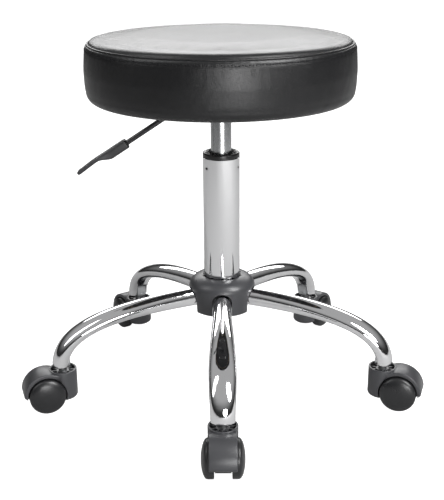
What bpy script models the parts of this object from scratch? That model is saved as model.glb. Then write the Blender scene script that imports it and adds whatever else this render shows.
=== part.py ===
"""Adjustable swivel stool: round padded seat, gas lift, five-arm base on twin-wheel casters.

Metres, +Z up. The front arm points to -Y. The origin is on the floor, at the centre of the stool's box.
Pieces are modelled about the column's axis, and the root empty then moves the whole stool.
"""

import math

import bmesh
import bpy
from mathutils import Matrix, Vector

# Clearances
GAP = 0.0003
RUNNING_GAP = 0.00004
SWIVEL_GAP = 0.0014

# Base: arms
ARM_COUNT = 5
FRONT_ANGLE = -90.0
ARM_ROOT_HEIGHT = 0.1375
ARM_ROOT_PULL = 0.5536
ARM_ROOT_FALL = 0.005
ARM_TIP_PULL = 0.3015
ARM_TIP_OFFSET = 0.0024
ARM_ROOT_WIDTH = 0.0235
ARM_ROOT_DEPTH = 0.0255
ARM_BEND_WIDTH = 0.0350
ARM_BEND_DEPTH = 0.0205
ARM_TIP_WIDTH = 0.0310
ARM_TIP_DEPTH = 0.0225
ARM_WALL = 0.0016
ARM_BEND_PLACE = 0.62
ARM_RINGS = 10
ARM_SIDES = 14
TIP_CUT_HEIGHT = 0.025
TIP_CUT_GAP = 0.0015

# Base: caster sockets and stems
SWIVEL_RADIUS = 0.231
STEM_RADIUS = 0.0055
STEM_LENGTH_UP = 0.0185
STEM_LENGTH_DOWN = 0.0100
STEM_GROOVE_TOP = 0.0055
STEM_GROOVE_DEPTH = 0.0006
SOCKET_WALL = 0.0022
SOCKET_HEIGHT = 0.0190
SOCKET_FACE_REACH = 0.0098
SOCKET_FACE_WIDTH = 0.0140

# Base: column, hub and cover; heights are above or below the arms' root
COLUMN_RADIUS = 0.0250
COLUMN_WALL = 0.0015
COLUMN_FOOT_TAPER = 0.0015
COLUMN_DROP = 0.0285
COLUMN_TAPER_RISE = 0.0305
HUB_CORE_WALL = 0.0070
HUB_CORE_HEIGHT = 0.0440
HUB_CORE_DROP = 0.0245
COVER_RISE = 0.0285
COVER_DROP = 0.0200
COVER_SHOULDER_RISE = 0.0125
COVER_MOUTH_GAP = 0.0010
COVER_ROOM = 0.0102
COVER_BULGE = 0.0028
COVER_WALL = 0.0024
COVER_LIP = 0.0015
NOTCH_SIDE_GAP = 0.0032
NOTCH_TOP_GAP = 0.0012

# Gas lift
LIFT_UP = 0.078
TUBE_SHOWING = 0.0821
TUBE_RADIUS = 0.0140
TUBE_WALL = 0.0015
TUBE_END_PLACE = 0.3658
TUBE_FLOOR = 0.0080
TUBE_NOSE_HEIGHT = 0.0100
TUBE_NOSE_TAPER = 0.0015
NOSE_RISE = 0.0105
BUSH_LENGTH = 0.0708
COLLAR_HEIGHT = 0.0066
COLLAR_RIM = 0.0045
COLLAR_DISH_DEPTH = 0.0050
ROD_RADIUS = 0.0050
ROD_SHOULDER = 0.0020
ROD_TAIL = 0.0055
ROD_GROOVE_DEPTH = 0.0010
PISTON_HEIGHT = 0.0120
PISTON_END_GAP = 0.0020
BEARING_HEIGHT = 0.0060
BEARING_RADIUS = 0.0150
WASHER_HEIGHT = 0.0020
CLIP_HEIGHT = 0.0016
CLIP_RADIUS = 0.0100
VALVE_PIN_RADIUS = 0.0030
VALVE_PIN_RISE = 0.0050
VALVE_PIN_DEPTH = 0.0200
VALVE_TRAVEL = 0.0040

# Seat
SEAT_HEIGHT = 0.4970
SEAT_THICKNESS = 0.0801
SEAT_RADIUS = 0.1784
SEAT_TOP_FLAT_RADIUS = 0.0700
SEAT_SEAM_INSET = 0.0062
SEAT_SEAM_DROP = 0.0090
SEAT_FOOT_INSET = 0.0035
SEAT_FOOT_ROUND = 0.0130
SEAT_WRAP_WIDTH = 0.0100
COVER_SKIN = 0.0020
BOARD_INSET = 0.0204
BOARD_HEIGHT = 0.0120
BOARD_LIFT = 0.0045
BOARD_EDGE = 0.0015
DUST_COVER_HEIGHT = 0.0008
DUST_COVER_INSET = 0.0020

# Lift plate and lever
PLATE_HALF = 0.0800
PLATE_HEIGHT = 0.0025
PLATE_CORNER = 0.0120
POCKET_HALF_X = 0.0310
POCKET_HALF_Y = 0.0240
POCKET_DEPTH = 0.0280
POCKET_WALL = 0.0020
TAPER_SOCKET_WALL = 0.0035
TAPER_SOCKET_HEIGHT = 0.0130
BOLT_SPACING = 0.1300
BOLT_RADIUS = 0.0030
BOLT_LENGTH = 0.0110
BOLT_HEAD_RADIUS = 0.0058
BOLT_HEAD_HEIGHT = 0.0040
LEVER_PIVOT_REACH = 0.0240
LEVER_PIN_RADIUS = 0.0020
LEVER_ROD_RADIUS = 0.0035
LEVER_FLAT_HEIGHT = 0.0080
LEVER_FLAT_WIDTH = 0.0070
LEVER_FLAT_LENGTH = 0.0150
LEVER_NOSE_REACH = 0.0040
LEVER_FALL_ANGLE = 33.2
LEVER_BEND_REACH = 0.0420
LEVER_BEND_RADIUS = 0.0060
LEVER_GRIP_REACH = 0.1265
LEVER_ROD_IN_GRIP = 0.0260
GRIP_LENGTH = 0.0420
GRIP_HEIGHT = 0.0135
GRIP_WIDTH = 0.0150
TONGUE_LENGTH = 0.0380
TONGUE_HEIGHT = 0.0055
TONGUE_WIDTH = 0.0180
TONGUE_TIP_DROP = 0.0015

# Casters
WHEEL_RADIUS = 0.0250
WHEEL_SIDES = 24
WHEEL_INNER_FACE = 0.0110
WHEEL_TREAD_WIDTH = 0.0080
WHEEL_DOME_HEIGHT = 0.0078
WHEEL_DOME_FLAT_RADIUS = 0.0060
WHEEL_BORE_DEPTH = 0.0090
CASTER_TRAIL = 0.0247
AXLE_RADIUS = 0.0030
HOOD_WALL = 0.0046
HOOD_HALF_WIDTH = 0.0172
HOOD_WHEEL_GAP = 0.0016
HOOD_WEB_GAP = 0.0012
HOOD_TAIL_ANGLE = 2.0
HOOD_FRONT_ANGLE = 112.0
HOOD_LIP_FALL = 0.0050
HOOD_LIP_REACH = 0.0060
WEB_DROP = 0.0148
WEB_REACH = 0.0100
CUP_RADIUS = 0.0190
CUP_WALL = 0.0024
CUP_DROP = 0.0108
CUP_ROUND = 0.0050
CUP_RECESS_DEPTH = 0.0110
BOSS_WALL = 0.0030
BOSS_DROP = 0.0030

# Facets on round pieces
SEAT_SIDES = 44
COVER_SIDES = 40
WIDE_SIDES = 32
TUBE_SIDES = 24
SMALL_SIDES = 16
FINE_SIDES = 12
BOLT_SIDES = 8
DOME_STEPS = 2

# Colours
BLACK_VINYL = (0.012, 0.012, 0.013)
FOAM_YELLOW = (0.72, 0.62, 0.40)
PLYWOOD = (0.55, 0.40, 0.24)
BLACK_CLOTH = (0.02, 0.02, 0.02)
CHROME = (0.80, 0.80, 0.81)
SATIN_STEEL = (0.55, 0.56, 0.57)
ZINC = (0.50, 0.51, 0.52)
BLACK_PAINT = (0.02, 0.02, 0.022)
GREY_NYLON = (0.055, 0.056, 0.060)
BLACK_NYLON = (0.012, 0.012, 0.012)

# Sizes that follow from the ones above
WHEEL_STEP = 360.0 / WHEEL_SIDES
WHEEL_CENTRE = WHEEL_RADIUS * math.cos(math.radians(WHEEL_STEP / 2))
WHEEL_CLEAR_RADIUS = WHEEL_RADIUS + HOOD_WHEEL_GAP
HOOD_RADIUS = WHEEL_CLEAR_RADIUS + HOOD_WALL
CUP_TOP = WHEEL_CENTRE + HOOD_RADIUS
CUP_FLOOR = CUP_TOP - CUP_RECESS_DEPTH
CUP_BOTTOM = WHEEL_CENTRE - CUP_DROP
STEM_BOTTOM = CUP_FLOOR - STEM_LENGTH_DOWN
ARM_TIP_Z = CUP_TOP + SWIVEL_GAP
SOCKET_RADIUS = STEM_RADIUS + GAP + SOCKET_WALL
SEAT_BOTTOM = SEAT_HEIGHT - SEAT_THICKNESS
SEAT_SEAM_RADIUS = SEAT_RADIUS - SEAT_SEAM_INSET
SEAT_SEAM_HEIGHT = SEAT_HEIGHT - SEAT_SEAM_DROP
SEAT_FOOT_RADIUS = SEAT_RADIUS - SEAT_FOOT_INSET - SEAT_FOOT_ROUND
SEAT_WRAP_RADIUS = SEAT_FOOT_RADIUS - SEAT_WRAP_WIDTH
BOARD_RADIUS = SEAT_RADIUS - BOARD_INSET
BOARD_BOTTOM = SEAT_BOTTOM + BOARD_LIFT
PLATE_TOP = BOARD_BOTTOM - DUST_COVER_HEIGHT - 2 * GAP
PLATE_BOTTOM = PLATE_TOP - PLATE_HEIGHT
POCKET_FLOOR = PLATE_BOTTOM - POCKET_DEPTH
COLUMN_TOP = SEAT_BOTTOM - TUBE_SHOWING
COLUMN_BOTTOM = ARM_ROOT_HEIGHT - COLUMN_DROP
COLUMN_TAPER_TOP = ARM_ROOT_HEIGHT + COLUMN_TAPER_RISE
COLUMN_FOOT_RADIUS = COLUMN_RADIUS - COLUMN_FOOT_TAPER
HUB_CORE_RADIUS = COLUMN_FOOT_RADIUS + GAP + HUB_CORE_WALL
HUB_CORE_BOTTOM = ARM_ROOT_HEIGHT - HUB_CORE_DROP
HUB_CORE_TOP = HUB_CORE_BOTTOM + HUB_CORE_HEIGHT
COVER_SKIRT_RADIUS = HUB_CORE_RADIUS + COVER_ROOM + COVER_WALL
COVER_RADIUS = COVER_SKIRT_RADIUS + COVER_BULGE
COVER_TOP = ARM_ROOT_HEIGHT + COVER_RISE
COVER_BOTTOM = ARM_ROOT_HEIGHT - COVER_DROP
COVER_SHOULDER_HEIGHT = ARM_ROOT_HEIGHT + COVER_SHOULDER_RISE
TUBE_TOP = POCKET_FLOOR + NOSE_RISE
TUBE_NOSE_RADIUS = TUBE_RADIUS - TUBE_NOSE_TAPER
TAPER_SOCKET_RADIUS = TUBE_RADIUS + GAP + TAPER_SOCKET_WALL
BUSH_BOTTOM = COLUMN_TOP - BUSH_LENGTH
BEARING_BOTTOM = COLUMN_BOTTOM + COLUMN_WALL + GAP
WASHER_BOTTOM = BEARING_BOTTOM + BEARING_HEIGHT + GAP
WASHER_TOP = WASHER_BOTTOM + WASHER_HEIGHT
TUBE_BOTTOM = WASHER_TOP + TUBE_END_PLACE * (COLUMN_TOP - WASHER_TOP)
ROD_TOP = TUBE_BOTTOM + TUBE_FLOOR + LIFT_UP + PISTON_END_GAP
VALVE_PIN_TOP = TUBE_TOP + VALVE_PIN_RISE
LEVER_PIVOT_X = -LEVER_PIVOT_REACH
LEVER_BEND_X = -LEVER_BEND_REACH
LEVER_GRIP_X = -LEVER_GRIP_REACH
LEVER_HEIGHT = VALVE_PIN_TOP + GAP + LEVER_FLAT_HEIGHT / 2


def clear_scene():
    for item in list(bpy.data.objects):
        bpy.data.objects.remove(item)


def paint(name, colour, roughness, metallic):
    """A plain finish for one kind of material."""
    material = bpy.data.materials.new(name)
    material.use_nodes = True
    shader = material.node_tree.nodes["Principled BSDF"]
    shader.inputs["Base Color"].default_value = (*colour, 1.0)
    shader.inputs["Roughness"].default_value = roughness
    shader.inputs["Metallic"].default_value = metallic
    material.diffuse_color = (*colour, 1.0)
    return material


def empty(name, parent, location=(0, 0, 0), turn=(0, 0, 0)):
    """A joint axis or a frame that pieces hang from; turn is in degrees."""
    item = bpy.data.objects.new(name, None)
    bpy.context.scene.collection.objects.link(item)
    item.parent = parent
    item.location = location
    item.rotation_euler = [math.radians(angle) for angle in turn]
    return item


def to_mesh(name, bm):
    """Close a bmesh into a mesh with outward faces and smooth round sides."""
    bmesh.ops.remove_doubles(bm, verts=bm.verts, dist=1e-6)
    bmesh.ops.recalc_face_normals(bm, faces=bm.faces)
    mesh = bpy.data.meshes.new(name)
    bm.to_mesh(mesh)
    bm.free()
    mesh.shade_smooth()
    mesh.set_sharp_from_angle(angle=math.radians(35))
    return mesh


def piece(name, mesh, material, parent, location=(0, 0, 0), turn=(0, 0, 0)):
    """One named object on its parent; its mesh may be shared with its twins."""
    item = bpy.data.objects.new(name, mesh)
    bpy.context.scene.collection.objects.link(item)
    item.parent = parent
    item.location = location
    item.rotation_euler = [math.radians(angle) for angle in turn]
    if not mesh.materials:
        mesh.materials.append(material)
    return item


def turned(profile, sides, start=0.0):
    """Spin an outline of (radius, height) points about Z, closing it along the axis if it ends there."""
    bm = bmesh.new()
    turn = Matrix.Rotation(math.radians(start), 4, "Z")
    verts = [bm.verts.new(turn @ Vector((radius, 0, height))) for radius, height in profile]
    edges = [bm.edges.new(pair) for pair in zip(verts, verts[1:])]
    if profile[0][0] > 0 and profile[-1][0] > 0:
        edges.append(bm.edges.new((verts[-1], verts[0])))
    bmesh.ops.spin(
        bm, geom=verts + edges, cent=(0, 0, 0), axis=(0, 0, 1),
        angle=2 * math.pi, steps=sides, use_merge=True,
    )
    return bm


def extruded(outline, low, high):
    """Extrude a flat outline of (x, z) points along Y from low to high."""
    bm = bmesh.new()
    face = bm.faces.new([bm.verts.new((x, low, z)) for x, z in outline])
    moved = bmesh.ops.extrude_face_region(bm, geom=[face])["geom"]
    verts = [item for item in moved if isinstance(item, bmesh.types.BMVert)]
    bmesh.ops.translate(bm, verts=verts, vec=(0, high - low, 0))
    return bm


def block(low, high):
    """A box between two corners."""
    bm = bmesh.new()
    size = Vector(high) - Vector(low)
    middle = (Vector(high) + Vector(low)) / 2
    place = Matrix.Translation(middle) @ Matrix.Diagonal((*size, 1))
    bmesh.ops.create_cube(bm, size=1.0, matrix=place)
    return bm


def rod(radius, length, sides, matrix):
    """A plain round bar along its own Z, centred on the given place."""
    bm = bmesh.new()
    bmesh.ops.create_cone(
        bm, cap_ends=True, segments=sides, radius1=radius, radius2=radius, depth=length, matrix=matrix,
    )
    return bm


def running_bore(radius, sides):
    """The radius of a faceted hole that a round shaft turns in freely."""
    return (radius + RUNNING_GAP) / math.cos(math.pi / sides)


def arc(centre, radius, start, end, steps):
    """Points on an arc in degrees, both ends included."""
    angles = [math.radians(start + (end - start) * step / steps) for step in range(steps + 1)]
    return [(centre[0] + radius * math.cos(a), centre[1] + radius * math.sin(a)) for a in angles]


def carve(name, body, joined=(), cut=()):
    """Join some solids to a body, then cut others from it, and return the mesh."""
    base = bpy.data.objects.new(name, to_mesh(name, body))
    bpy.context.scene.collection.objects.link(base)
    tools = []
    for operation, solids in (("UNION", joined), ("DIFFERENCE", cut)):
        for solid in solids:
            tool = bpy.data.objects.new("tool", to_mesh("tool", solid))
            bpy.context.scene.collection.objects.link(tool)
            modifier = base.modifiers.new(operation, "BOOLEAN")
            modifier.operation = operation
            modifier.solver = "EXACT"
            modifier.object = tool
            tools.append(tool)
    bpy.context.view_layer.update()
    evaluated = base.evaluated_get(bpy.context.evaluated_depsgraph_get())
    mesh = bpy.data.meshes.new_from_object(evaluated)
    mesh.name = name
    for item in [base, *tools]:
        bpy.data.objects.remove(item)
    mesh.shade_smooth()
    mesh.set_sharp_from_angle(angle=math.radians(35))
    return mesh


def along_y(x, z, y=0.0):
    """A place whose own Z runs along the Y axis."""
    return Matrix.Translation((x, y, z)) @ Matrix.Rotation(math.pi / 2, 4, "X")


def blend(low, high, share):
    """A soft step from low to high."""
    share = min(max(share, 0.0), 1.0)
    return low + (high - low) * (3 - 2 * share) * share * share


# Base ---------------------------------------------------------------------------------------------


def arm_point(share):
    """The arm's middle line in its own (radius, height) plane: a cubic curve from hub to tip."""
    root = Vector((HUB_CORE_RADIUS + GAP, ARM_ROOT_HEIGHT))
    tip = Vector((SWIVEL_RADIUS + ARM_TIP_OFFSET, ARM_TIP_Z))
    span = tip.x - root.x
    first = root + Vector((ARM_ROOT_PULL * span, -ARM_ROOT_FALL))
    second = tip + Vector((0, ARM_TIP_PULL * span))
    rest = 1 - share
    return rest**3 * root + 3 * rest**2 * share * first + 3 * rest * share**2 * second + share**3 * tip


def arm_section(share):
    """The oval tube's half width and half depth: round at the hub, wide over the bend."""
    if share < ARM_BEND_PLACE:
        part = share / ARM_BEND_PLACE
        width = blend(ARM_ROOT_WIDTH, ARM_BEND_WIDTH, part)
        depth = blend(ARM_ROOT_DEPTH, ARM_BEND_DEPTH, part)
    else:
        part = (share - ARM_BEND_PLACE) / (1 - ARM_BEND_PLACE)
        width = blend(ARM_BEND_WIDTH, ARM_TIP_WIDTH, part)
        depth = blend(ARM_BEND_DEPTH, ARM_TIP_DEPTH, part)
    return width / 2, depth / 2


def arm_ring(bm, share, wall):
    """One ring of the tube, square to its middle line; both ends are flat cuts."""
    point = arm_point(share)
    step = 0.002
    ahead = arm_point(min(share + step, 1.0)) - arm_point(max(share - step, 0.0))
    if share in (0.0, 1.0):
        ahead = Vector((1, 0)) if share == 0.0 else Vector((0, -1))
    ahead.normalize()
    up = Vector((-ahead.y, ahead.x))
    width, depth = arm_section(share)
    ring = []
    for side in range(ARM_SIDES):
        angle = 2 * math.pi * side / ARM_SIDES
        across = (width - wall) * math.cos(angle)
        rise = (depth - wall) * math.sin(angle)
        ring.append(bm.verts.new((point.x + up.x * rise, across, point.y + up.y * rise)))
    return ring


def arm_tube():
    """The bent tube: outer and inner skins joined by a flat rim at each end."""
    bm = bmesh.new()
    shares = [ring / (ARM_RINGS - 1) for ring in range(ARM_RINGS)]
    outer = [arm_ring(bm, share, 0.0) for share in shares]
    inner = [arm_ring(bm, share, ARM_WALL) for share in reversed(shares)]
    rings = outer + inner
    for one, other in zip(rings, rings[1:] + rings[:1]):
        for side in range(ARM_SIDES):
            after = (side + 1) % ARM_SIDES
            bm.faces.new((one[side], one[after], other[after], other[side]))
    return bm


def arm_mesh():
    """The tube with its tip cut open on the inner side, round the caster socket."""
    half = SOCKET_FACE_WIDTH / 2 + TIP_CUT_GAP
    inner_side = SWIVEL_RADIUS - ARM_TIP_DEPTH
    window = block(
        (inner_side - 0.01, -half, ARM_TIP_Z - 0.01),
        (SWIVEL_RADIUS - SOCKET_RADIUS / 2, half, ARM_TIP_Z + TIP_CUT_HEIGHT),
    )
    return carve("arm", arm_tube(), cut=[window])


def socket_mesh():
    """The welded stem socket: a short sleeve with a flat inner face."""
    low, high = ARM_TIP_Z + GAP, ARM_TIP_Z + GAP + SOCKET_HEIGHT
    sleeve = turned([(0, low), (SOCKET_RADIUS, low), (SOCKET_RADIUS, high), (0, high)], SMALL_SIDES)
    face = block(
        (-SOCKET_FACE_REACH, -SOCKET_FACE_WIDTH / 2, low),
        (0, SOCKET_FACE_WIDTH / 2, high),
    )
    middle = Matrix.Translation((0, 0, (low + high) / 2))
    bore = rod(STEM_RADIUS + GAP, SOCKET_HEIGHT * 2, FINE_SIDES, middle)
    return carve("socket", sleeve, joined=[face], cut=[bore])


def stem_mesh():
    """The caster's steel stem: a grip ring near the top, a round end below."""
    high = ARM_TIP_Z + STEM_LENGTH_UP
    groove = high - STEM_GROOVE_TOP
    neck = STEM_RADIUS - STEM_GROOVE_DEPTH
    return to_mesh("stem", turned([
        (0, STEM_BOTTOM), (STEM_RADIUS, STEM_BOTTOM), (STEM_RADIUS, groove - 0.0025),
        (neck, groove - 0.0020), (neck, groove - 0.0005), (STEM_RADIUS, groove),
        (STEM_RADIUS - 0.0010, high), (0, high),
    ], FINE_SIDES))


def column_mesh():
    """The chromed outer tube: tapered foot, closed by a plate with a hole for the rod's end."""
    hole = running_bore(ROD_RADIUS, WIDE_SIDES)
    foot = COLUMN_FOOT_RADIUS
    inner = COLUMN_RADIUS - COLUMN_WALL
    return to_mesh("outer_column", turned([
        (hole, COLUMN_BOTTOM), (foot, COLUMN_BOTTOM), (foot, HUB_CORE_TOP),
        (COLUMN_RADIUS, COLUMN_TAPER_TOP), (COLUMN_RADIUS, COLUMN_TOP), (inner, COLUMN_TOP),
        (inner, COLUMN_TAPER_TOP), (foot - COLUMN_WALL, HUB_CORE_TOP),
        (foot - COLUMN_WALL, COLUMN_BOTTOM + COLUMN_WALL), (hole, COLUMN_BOTTOM + COLUMN_WALL),
    ], WIDE_SIDES))


def bush_mesh():
    """The guide bush in the column's mouth, with its collar dished towards the tube."""
    bore = running_bore(TUBE_RADIUS, WIDE_SIDES)
    sleeve = COLUMN_RADIUS - COLUMN_WALL - GAP
    low = COLUMN_TOP + GAP
    high = low + COLLAR_HEIGHT
    dish = high - COLLAR_DISH_DEPTH
    return to_mesh("guide_bush", turned([
        (bore, BUSH_BOTTOM), (sleeve, BUSH_BOTTOM), (sleeve, low), (COLUMN_RADIUS, low),
        (COLUMN_RADIUS, high - 0.0020), (COLUMN_RADIUS - 0.0022, high),
        (COLUMN_RADIUS - COLLAR_RIM, high - 0.0008), (bore + 0.0012, dish),
        (bore, dish - 0.0006),
    ], WIDE_SIDES))


def hub_core_mesh():
    """The steel hub that the arms are welded to and the column's foot is wedged in."""
    bore = COLUMN_FOOT_RADIUS + GAP
    return to_mesh("hub_core", turned([
        (bore, HUB_CORE_BOTTOM), (HUB_CORE_RADIUS, HUB_CORE_BOTTOM), (HUB_CORE_RADIUS, HUB_CORE_TOP),
        (bore, HUB_CORE_TOP),
    ], WIDE_SIDES))


def hub_cover_mesh():
    """The moulded dome over the hub, with an arched notch for each arm."""
    mouth = COLUMN_RADIUS + COVER_MOUTH_GAP
    bulge = COVER_RADIUS - mouth
    rise = COVER_TOP - COVER_SHOULDER_HEIGHT
    dome = [
        (mouth + bulge * math.sin(a), COVER_SHOULDER_HEIGHT + rise * math.cos(a))
        for a in (math.radians(18 * step) for step in range(1, 6))
    ]
    outer = [
        (mouth, COVER_TOP + GAP), *dome, (COVER_SKIRT_RADIUS, COVER_BOTTOM + 2 * COVER_LIP),
        (COVER_SKIRT_RADIUS - COVER_LIP, COVER_BOTTOM),
    ]
    inner = [(radius - COVER_WALL, height - COVER_WALL * 0.8) for radius, height in reversed(dome)]
    inner[0] = (COVER_RADIUS - COVER_WALL, COVER_SHOULDER_HEIGHT - 0.001)
    inner[-1] = (mouth, COVER_TOP - COVER_WALL)
    skirt = COVER_SKIRT_RADIUS - COVER_WALL
    shell = turned([*outer, (skirt, COVER_BOTTOM), *inner], COVER_SIDES)
    return carve("hub_cover", shell, cut=[arm_notch(number) for number in range(ARM_COUNT)])


def arm_notch(number):
    """The arched slot that one arm leaves the cover through, open at the bottom."""
    half = ARM_ROOT_WIDTH / 2 + NOTCH_SIDE_GAP
    top = ARM_ROOT_HEIGHT + ARM_ROOT_DEPTH / 2 + NOTCH_TOP_GAP
    outline = [(-half, COVER_BOTTOM - 0.01), (half, COVER_BOTTOM - 0.01)]
    outline += arc((0, top - half), half, 0, 180, 6)
    notch = extruded(outline, 0.0, COVER_RADIUS + 0.01)
    angle = math.radians(FRONT_ANGLE + 360 / ARM_COUNT * number - 90)
    bmesh.ops.rotate(notch, verts=notch.verts, cent=(0, 0, 0), matrix=Matrix.Rotation(angle, 3, "Z"))
    return notch


def bearing_mesh():
    """The thrust bearing that the piston rod turns on, as one closed cartridge."""
    bore = ROD_RADIUS + GAP
    high = BEARING_BOTTOM + BEARING_HEIGHT
    return to_mesh("thrust_bearing", turned([
        (bore, BEARING_BOTTOM), (BEARING_RADIUS, BEARING_BOTTOM), (BEARING_RADIUS, high), (bore, high),
    ], SMALL_SIDES))


# Gas lift -----------------------------------------------------------------------------------------


def piston_rod_mesh():
    """The rod from the clip groove under the column to the piston, with a shoulder over the washer."""
    tail = COLUMN_BOTTOM - ROD_TAIL
    groove = COLUMN_BOTTOM - GAP - CLIP_HEIGHT - GAP
    shoulder = WASHER_TOP + GAP
    neck = ROD_RADIUS - ROD_GROOVE_DEPTH
    wide = ROD_RADIUS + ROD_SHOULDER
    return to_mesh("piston_rod", turned([
        (0, tail), (ROD_RADIUS, tail), (ROD_RADIUS, groove), (neck, groove),
        (neck, COLUMN_BOTTOM), (ROD_RADIUS, COLUMN_BOTTOM), (ROD_RADIUS, shoulder),
        (wide, shoulder), (wide, shoulder + ROD_SHOULDER), (ROD_RADIUS, shoulder + ROD_SHOULDER),
        (ROD_RADIUS, ROD_TOP), (0, ROD_TOP),
    ], FINE_SIDES))


def piston_mesh():
    """The piston on the rod's top end, sliding in the pressure tube."""
    low = ROD_TOP + GAP
    high = low + PISTON_HEIGHT
    radius = (TUBE_RADIUS - TUBE_WALL) * math.cos(math.pi / TUBE_SIDES) - RUNNING_GAP
    return to_mesh("piston", turned([(0, low), (radius, low), (radius, high), (0, high)], TUBE_SIDES))


def washer_mesh():
    """The hardened washer between the bearing and the rod's shoulder."""
    bore = ROD_RADIUS + GAP
    return to_mesh("bearing_washer", turned([
        (bore, WASHER_BOTTOM), (BEARING_RADIUS, WASHER_BOTTOM),
        (BEARING_RADIUS, WASHER_TOP), (bore, WASHER_TOP),
    ], SMALL_SIDES))


def clip_mesh():
    """The open spring clip in the rod's groove under the column."""
    bore = ROD_RADIUS - ROD_GROOVE_DEPTH + GAP
    high = COLUMN_BOTTOM - GAP
    low = high - CLIP_HEIGHT
    ring = turned([(bore, low), (CLIP_RADIUS, low), (CLIP_RADIUS, high), (bore, high)], SMALL_SIDES)
    mouth = block((0, -bore * 0.8, low - 0.01), (CLIP_RADIUS + 0.01, bore * 0.8, high + 0.01))
    return carve("retaining_clip", ring, cut=[mouth])


def pressure_tube_mesh():
    """The sliding tube: a hole for the rod below, a tapered nose with the valve's hole above."""
    rod_hole = running_bore(ROD_RADIUS, TUBE_SIDES)
    pin_hole = running_bore(VALVE_PIN_RADIUS, TUBE_SIDES)
    inner = TUBE_RADIUS - TUBE_WALL
    floor = TUBE_BOTTOM + TUBE_FLOOR
    roof = TUBE_TOP - VALVE_PIN_DEPTH - VALVE_TRAVEL
    return to_mesh("pressure_tube", turned([
        (rod_hole, TUBE_BOTTOM), (TUBE_RADIUS - 0.001, TUBE_BOTTOM), (TUBE_RADIUS, TUBE_BOTTOM + 0.001),
        (TUBE_RADIUS, TUBE_TOP - TUBE_NOSE_HEIGHT), (TUBE_NOSE_RADIUS, TUBE_TOP),
        (pin_hole, TUBE_TOP), (pin_hole, roof), (inner, roof - 0.002), (inner, floor), (rod_hole, floor),
    ], TUBE_SIDES))


def valve_pin_mesh():
    """The push pin of the gas valve, standing out of the tube's nose."""
    low = TUBE_TOP - VALVE_PIN_DEPTH + VALVE_TRAVEL
    return to_mesh("valve_pin", turned([
        (0, low), (VALVE_PIN_RADIUS, low), (VALVE_PIN_RADIUS, VALVE_PIN_TOP - 0.0006),
        (VALVE_PIN_RADIUS - 0.0006, VALVE_PIN_TOP), (0, VALVE_PIN_TOP),
    ], FINE_SIDES))


# Seat ---------------------------------------------------------------------------------------------


def seat_outline(inset):
    """The cushion's outline from the middle of the top to its foot, set in by a skin's thickness."""
    middle = (SEAT_SEAM_HEIGHT + SEAT_BOTTOM) / 2
    side = SEAT_RADIUS - inset
    seam = SEAT_SEAM_RADIUS - inset
    top = SEAT_HEIGHT - inset
    foot = (SEAT_FOOT_RADIUS, SEAT_BOTTOM + SEAT_FOOT_ROUND)
    points = [
        (0, top), (SEAT_TOP_FLAT_RADIUS, top),
        ((SEAT_TOP_FLAT_RADIUS + SEAT_SEAM_RADIUS) / 2, top - SEAT_SEAM_DROP * 0.13),
        (seam - SEAT_SEAM_DROP, top - SEAT_SEAM_DROP * 0.38), (seam, top - SEAT_SEAM_DROP),
        (side - SEAT_SEAM_INSET * 0.35, SEAT_SEAM_HEIGHT - SEAT_SEAM_DROP * 1.6),
        (side, middle + SEAT_SEAM_INSET), (side, middle - SEAT_SEAM_INSET),
        (side - SEAT_FOOT_INSET * 0.4, SEAT_BOTTOM + SEAT_FOOT_ROUND * 1.35),
    ]
    return points + arc(foot, SEAT_FOOT_ROUND - inset, 0, -90, 3)


def seat_cover_mesh():
    """The vinyl cover: a thin shell wrapped round the foam and under the board's edge."""
    wrap = [(SEAT_WRAP_RADIUS, SEAT_BOTTOM), (SEAT_WRAP_RADIUS, SEAT_BOTTOM + COVER_SKIN)]
    inner = reversed(seat_outline(COVER_SKIN))
    return to_mesh("seat_cover", turned([*seat_outline(0.0), *wrap, *inner], SEAT_SIDES))


def seat_foam_mesh():
    """The moulded foam block between the board and the cover, thick at the sides."""
    gap = COVER_SKIN + GAP
    board_top = BOARD_BOTTOM + BOARD_HEIGHT + GAP
    rim = BOARD_RADIUS + GAP
    return to_mesh("seat_foam", turned([
        *seat_outline(gap), (rim, SEAT_BOTTOM + gap), (rim, board_top), (0, board_top),
    ], SEAT_SIDES))


def seat_board_mesh():
    """The plywood disc, drilled for the four bolts."""
    high = BOARD_BOTTOM + BOARD_HEIGHT
    edge = BOARD_EDGE
    disc = turned([
        (0, BOARD_BOTTOM), (BOARD_RADIUS - edge, BOARD_BOTTOM), (BOARD_RADIUS, BOARD_BOTTOM + edge),
        (BOARD_RADIUS, high), (0, high),
    ], SEAT_SIDES)
    holes = [
        rod(BOLT_RADIUS + GAP, BOARD_HEIGHT * 3, BOLT_SIDES, Matrix.Translation((x, y, BOARD_BOTTOM)))
        for x, y in bolt_places()
    ]
    return carve("seat_board", disc, cut=holes)


def dust_cover_mesh():
    """The thin cloth disc under the board, cut out over the pocket and holed for the bolts."""
    low = PLATE_TOP + GAP
    high = low + DUST_COVER_HEIGHT
    radius = SEAT_WRAP_RADIUS - DUST_COVER_INSET
    disc = turned([(0, low), (radius, low), (radius, high), (0, high)], SEAT_SIDES)
    window = block(
        (-POCKET_HALF_X, -POCKET_HALF_Y, low - 0.01), (POCKET_HALF_X, POCKET_HALF_Y, high + 0.01),
    )
    holes = [
        rod(BOLT_RADIUS + GAP, 0.02, BOLT_SIDES, Matrix.Translation((x, y, low))) for x, y in bolt_places()
    ]
    return carve("dust_cover", disc, cut=[window, *holes])


def bolt_places():
    half = BOLT_SPACING / 2
    return [(x, y) for x in (-half, half) for y in (-half, half)]


def rounded_plate(half, corner, low, high):
    """A square plate with round corners, flat between two heights."""
    bm = block((-half, -half, low), (half, half, high))
    upright = [edge for edge in bm.edges if abs(edge.verts[0].co.z - edge.verts[1].co.z) > 1e-6]
    bmesh.ops.bevel(
        bm, geom=upright, offset=corner, segments=4, profile=0.5, affect="EDGES", material=-1,
    )
    return bm


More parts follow.
